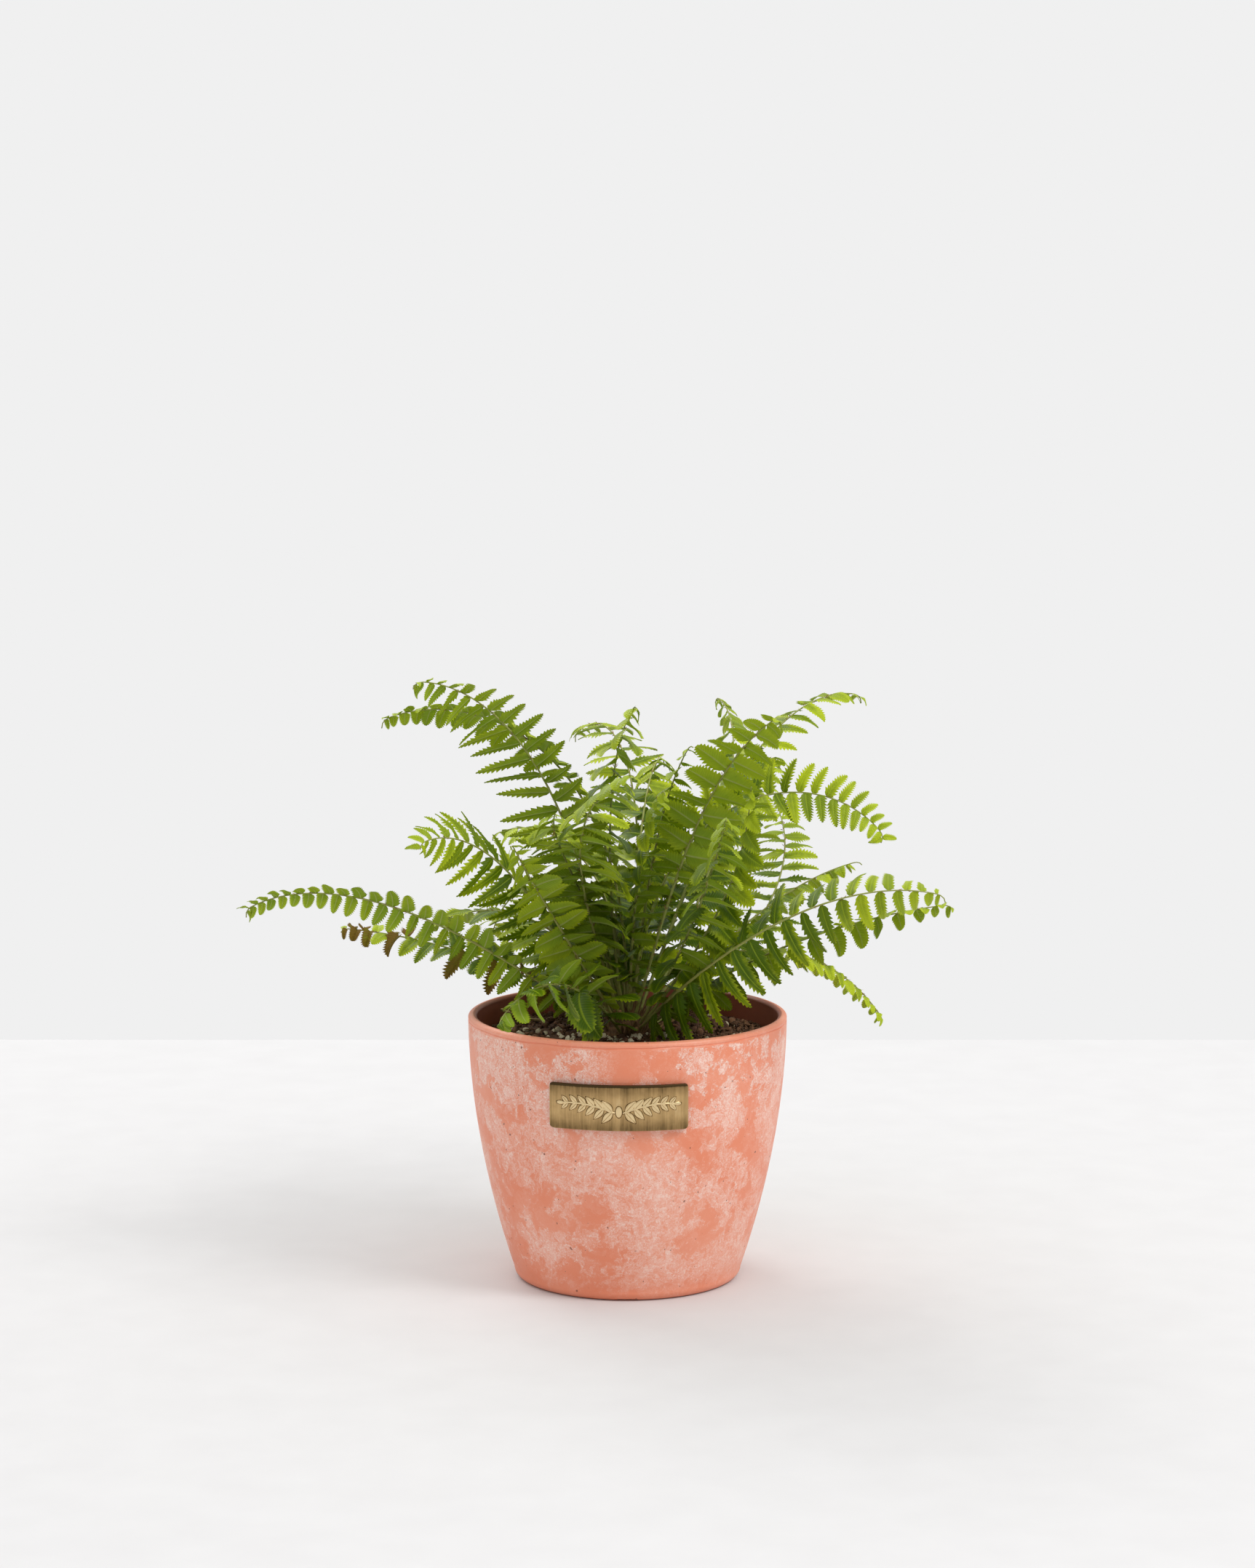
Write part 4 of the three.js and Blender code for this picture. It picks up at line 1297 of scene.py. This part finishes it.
def stalk_finish(fronds):
    """Green stalk that browns towards the crown, with a fine nap."""
    f = Finish("Fern stalk")
    along, tint = f.attribute("along"), f.attribute("tint")
    nap = f.noise(f.place(), 2400, 4, 0.6)
    patches = f.noise(f.place(), 260, 3)
    browning = (1 - along) * 0.7 + (tint - 0.5) * 0.5 + (patches - 0.5) * 0.8
    base = f.mix(browning.between(0.35, 1.3) * 0.5, opaque(fronds.stalk), srgb("866635"))
    base = f.mix(nap.between(0.5, 0.75) * 0.5, base, srgb("a9a060"))
    return f.end({"Base Color": base, "Roughness": 0.6, "Normal": f.bump(nap, 0.0002)})


def scale_finish():
    """Papery brown scales on the stalks."""
    f = Finish("Stalk scales")
    fine = f.noise(f.place(), 1800, 3)
    base = f.mix(fine, srgb("6d4a24"), srgb("b08a52"))
    return f.end({"Base Color": base, "Roughness": 0.8, "Normal": f.bump(fine, 0.0001)},
                 (0.2, srgb("b08a52")))


def leaflet_places(growth, style, pitch):
    """Shares of the leafy length at which the leaflets of one side stand."""
    leafy = growth.length * (1 - growth.bare * style["low"])
    here, found = 0.0, []
    while here < LEAFLETS_END:
        found.append(here)
        local = 0.42 + 0.58 * float(reach_at(np.array(min(1.0, max(here, 0.26)))))
        here += pitch * style["pitch"] * local / leafy
    return np.array(found)


def rib_radius(fronds, share):
    return fronds.rib / MM * (1 - STALK_THINNING * share)


def add_stalk(shape, growth, fronds, random):
    """The stalk and midrib as one tapering tube."""
    shares = np.linspace(0, STALK_END, STALK_RINGS)
    path = growth.place(shares)
    path = np.concatenate([[path[0] - growth.course(np.zeros(1))[0] * STALK_BURIED], path])
    shares = np.concatenate([[0], shares])
    radii = rib_radius(fronds, shares) * (1 + 0.05 * np.sin(shares * 160))
    points, faces = tube(path, radii, STALK_SIDES)
    marks = np.concatenate([np.repeat(shares, STALK_SIDES), [0, 1]])
    shape.add(points, faces, STALK, along=marks, tint=random.random())


def add_row(shape, growth, style, fronds, leaf_cut, random, sign, at, gaps):
    """The leaflets of one side, at these shares of the leafy length."""
    n = len(at)
    bare = growth.bare * style["low"]
    leafy = 1 - bare
    share = bare + leafy * at
    along, side, up = growth.frame(share)
    reach = growth.reach * style["size"] * reach_at(at, style["taper"])
    hang = np.radians(growth.hang + random.uniform(-10, 10, n))
    yaw = np.radians(random.uniform(-7, 7, n))
    out = side * (sign * np.cos(hang))[:, None] - up * np.sin(hang)[:, None] \
        + along * (style["rake"] + np.tan(yaw))[:, None]
    size = reach * np.linalg.norm(out, axis=1) * random.uniform(0.93, 1.03, n)
    size = np.maximum(size, LEAST_LENGTH + growth.reach * LEAST_SHARE)
    out = unit(out)
    out[:, 2] -= style["sag"] * np.clip(-3 * out[:, 2], 0, 1)
    out = unit(out)
    ahead = unit(along - out * np.sum(along * out, axis=1, keepdims=True))
    normal = np.cross(ahead, out) * sign
    lean = np.clip(style["louvre"] + random.normal(0, 0.3, n), 0, 2.5)[:, None]
    normal = unit(normal + lean * (UP - out * out[:, 2:]))
    ahead = np.cross(out, normal) * sign
    tip = np.clip((at - YOUNG_FROM) / (1 - YOUNG_FROM), 0, 1)
    width = np.maximum(gaps * leafy * growth.length, size * 0.5 * tip)
    half = 0.56 * width * style["plump"] * random.uniform(0.88, 1.12, n)
    half = np.minimum(half, size * 0.4)
    browned = random.random(n) < style["old"] * (0.4 + at)
    scale = np.clip(size / FULL_SIZE, 0.25, 1.1)
    bend = style["bend"] * random.uniform(0.5, 1.4, n) + tip * 35 + browned * 40
    leaflets = {
        "root": growth.place(share), "out": out, "ahead": ahead, "up": normal,
        "length": size, "half": half, "point": style["point"], "bend": np.radians(bend),
        "curve": np.radians(random.uniform(0, 26, n)),
        "twist": np.radians(random.normal(0, 17, n) + browned * random.normal(0, 40, n)),
        "fold": np.radians(random.uniform(0, 24, n)) + browned * 0.7,
        "camber": random.uniform(0.08, 0.3, n),
        "wave": random.uniform(0.15, 0.8, n) * scale,
        "phase": random.uniform(0, 6.3, n),
        "tooth": fronds.tooth / MM * style["saw"] * scale, "scale": scale,
    }
    points, marks = leaf_cut.shape(leaflets, fronds.thickness / MM)
    step = leaf_cut.count * np.arange(n)[:, None, None]
    quads = (leaf_cut.quads[None] + step).reshape(-1, 4)
    ends = (leaf_cut.ends[None] + step).reshape(-1, 3)
    if sign > 0:
        quads, ends = quads[:, ::-1], ends[:, ::-1]
    # A frond set darker in STYLES darkens its leaflets' tint partly as painted shade and partly for age.
    tint = 0.45 + style["shade_and_tone"] + 0.5 * (at - 0.5) + random.normal(0, 0.26, n)
    whole = {
        "tint": np.clip(tint, 0, 1), "age": browned * random.uniform(0.5, 1.0, n),
        "young": tip ** 1.3 * style["fresh"], "size": scale,
    }
    shape.add(points, [quads, ends], LEAF,
              **{key: np.tile(mark, n) for key, mark in marks.items()},
              **{key: np.repeat(value, leaf_cut.count) for key, value in whole.items()})


def add_scales(shape, growth, style, fronds, random):
    """Papery scales on the stalk, closer together on its bare part."""
    count = int(style["fuzz"]) + 30
    share = np.where(random.random(count) < 0.45, random.uniform(0, growth.bare, count),
                     random.uniform(growth.bare, 0.9, count))
    along, side, up = growth.frame(share)
    angle = random.uniform(0, 2 * math.pi, count)
    away = side * np.cos(angle)[:, None] + up * np.sin(angle)[:, None]
    roots = growth.place(share) + away * rib_radius(fronds, share)[:, None] * 0.85
    pointing = unit(along + away * random.uniform(0.2, 0.9, (count, 1)))
    scales, faces = flakes(roots, pointing, away, random.uniform(0.9, 2.4, count),
                           random.uniform(0.25, 0.55, count), 0.05)
    shape.add(scales, [faces], SCALES)


def grow(name, values, order, fronds, crown, leaf_cut, materials):
    """Builds one frond: its stalk, its two rows of leaflets and its scales."""
    style = {**USUAL, **STYLES.get(name, {})}
    growth = Growth(values, crown)
    random = np.random.default_rng(100 + order)
    shape = Shape()
    add_stalk(shape, growth, fronds, random)
    starts = leaflet_places(growth, style, fronds.pitch / MM)
    gaps = np.append(np.diff(starts), LAST_GAP)
    for sign, offset in ((1, 0.0), (-1, 0.5)):
        at = starts + gaps * offset
        kept = at < ROW_END
        add_row(shape, growth, style, fronds, leaf_cut, random, sign, at[kept], gaps[kept])
    add_scales(shape, growth, style, fronds, random)
    return shape.build(name, materials, [name], sharp=70)


class FERN_OT_fronds(bpy.types.Operator):
    """Grows every frond, each as one piece"""
    bl_idname = "fern.fronds"
    bl_label = "Fronds"

    def execute(self, context):
        fronds, crown = context.scene.fern_fronds, context.scene.fern_crown
        materials = [leaf_finish(fronds), stalk_finish(fronds), scale_finish()]
        leaf_cut = LeafletCut(fronds.teeth)
        for order, (name, values) in enumerate(FRONDS.items()):
            grow(name, values, order, fronds, crown, leaf_cut, materials)
        return {"FINISHED"}


# ---------------------------------------------------------------- stage

FLOOR_WIDE, FLOOR_NEAR = 5.0, -5.0
DOME_RADIUS = 7000  # millimetres
DOME_LOW, DOME_HIGH = 0.5, 1.25  # glow level with the floor and overhead
AIM = (0, 0, 0.14)
KEY_PLACE, KEY_SIZE = (1.5, -1.0, 1.9), 0.8
BACK_PLACE, BACK_SIZE, BACK_SHARE = (-0.9, 1.4, 1.6), 1.2, 0.6
CAMERA_PLACE = (0, -1.488, 0.3935)
CAMERA_TILT = 7.3  # degrees below level
LENS, SENSOR = 85, 36


def floor_finish(stage):
    """Plain matt floor."""
    f = Finish("Floor")
    fine = f.noise(f.place(), 40, 3)
    base = f.mix(fine * 0.3, opaque(stage.floor), srgb("e9e9e9"))
    return f.end({"Base Color": base, "Roughness": 0.9, "Specular IOR Level": 0.1})


def lamp(name, place, size, power):
    """A soft square light that points at the plant."""
    data = bpy.data.lights.new(name, "AREA")
    data.shape = "SQUARE"
    data.size = size
    data.energy = power
    made = bpy.data.objects.new(name, data)
    made.location = place
    made.rotation_euler = (Vector(AIM) - Vector(place)).to_track_quat("-Z", "Y").to_euler()
    bpy.context.scene.collection.objects.link(made)


def light_dome(strength):
    """A large dome that lights the object from all round, more from above, and isn't seen."""
    points, faces = ball(3)
    shape = Shape()
    shape.add(points * DOME_RADIUS, [faces[:, ::-1]])
    f = Finish("Sky")
    up = f.axis(f.place((0.14, 0.14, 0.14)), 2)
    low = DOME_LOW / DOME_HIGH
    glow = f.mix(up.between(0.0, 0.9), (low, low, low, 1), (1, 1, 1, 1))
    glow = f.add("ShaderNodeEmission", inputs={"Color": glow, "Strength": DOME_HIGH * strength})
    f.add("ShaderNodeOutputMaterial", inputs={"Surface": glow})
    dome = shape.loose("sky", [f.material])
    dome.visible_camera = False
    dome.visible_shadow = False


class FERN_OT_stage(bpy.types.Operator):
    """Lays the floor, sets the light and places the camera"""
    bl_idname = "fern.stage"
    bl_label = "Floor, light and camera"

    def execute(self, context):
        stage = context.scene.fern_stage
        mesh = bpy.data.meshes.new("floor")
        corners = [(-FLOOR_WIDE, FLOOR_NEAR, 0), (FLOOR_WIDE, FLOOR_NEAR, 0),
                   (FLOOR_WIDE, stage.depth, 0), (-FLOOR_WIDE, stage.depth, 0)]
        mesh.from_pydata(corners, [], [(0, 1, 2, 3)])
        mesh.materials.append(floor_finish(stage))
        floor = bpy.data.objects.new("floor", mesh)
        context.scene.collection.objects.link(floor)
        world = bpy.data.worlds.new("Studio")
        world.use_nodes = True
        background = world.node_tree.nodes["Background"]
        background.inputs["Color"].default_value = opaque(stage.backdrop)
        background.inputs["Strength"].default_value = 1.0
        context.scene.world = world
        for ray in ("diffuse", "glossy", "transmission"):
            setattr(world.cycles_visibility, ray, False)
        light_dome(stage.sky)
        lamp("Key", KEY_PLACE, KEY_SIZE, stage.key)
        lamp("Back", BACK_PLACE, BACK_SIZE, stage.key * BACK_SHARE)
        data = bpy.data.cameras.new("Camera")
        data.lens = LENS
        data.sensor_width = SENSOR
        data.sensor_fit = "AUTO"
        data.clip_start = 0.05
        camera = bpy.data.objects.new("Camera", data)
        camera.location = CAMERA_PLACE
        camera.rotation_euler = (math.radians(90 - CAMERA_TILT), 0, 0)
        context.scene.collection.objects.link(camera)
        context.scene.camera = camera
        context.scene.view_settings.view_transform = "Standard"
        return {"FINISHED"}


# ---------------------------------------------------------------- add-on

OPERATORS = (FERN_OT_pot, FERN_OT_plate, FERN_OT_pad, FERN_OT_soil, FERN_OT_crown,
             FERN_OT_dry_stalk, FERN_OT_fronds, FERN_OT_stage)


class FERN_PT_panel(bpy.types.Panel):
    """Lists the sizes, the colours and the operators"""
    bl_idname = "FERN_PT_panel"
    bl_label = "Potted fern"
    bl_space_type = "VIEW_3D"
    bl_region_type = "UI"
    bl_category = "Potted fern"

    def draw(self, context):
        for operator in OPERATORS:
            self.layout.operator(operator.bl_idname)
        for key, group in SETTINGS.items():
            box = self.layout.box()
            box.label(text=key.replace("fern_", "").capitalize())
            for name in group.__annotations__:
                box.prop(getattr(context.scene, key), name)


CLASSES = (*SETTINGS.values(), *OPERATORS, FERN_PT_panel)


def register():
    for cls in CLASSES:
        bpy.utils.register_class(cls)
    for key, group in SETTINGS.items():
        setattr(bpy.types.Scene, key, PointerProperty(type=group))


def unregister():
    for key in SETTINGS:
        delattr(bpy.types.Scene, key)
    for cls in reversed(CLASSES):
        bpy.utils.unregister_class(cls)


def main():
    register()
    for operator in OPERATORS:
        group, action = operator.bl_idname.split(".")
        getattr(getattr(bpy.ops, group), action)()


if __name__ == "__main__":
    main()
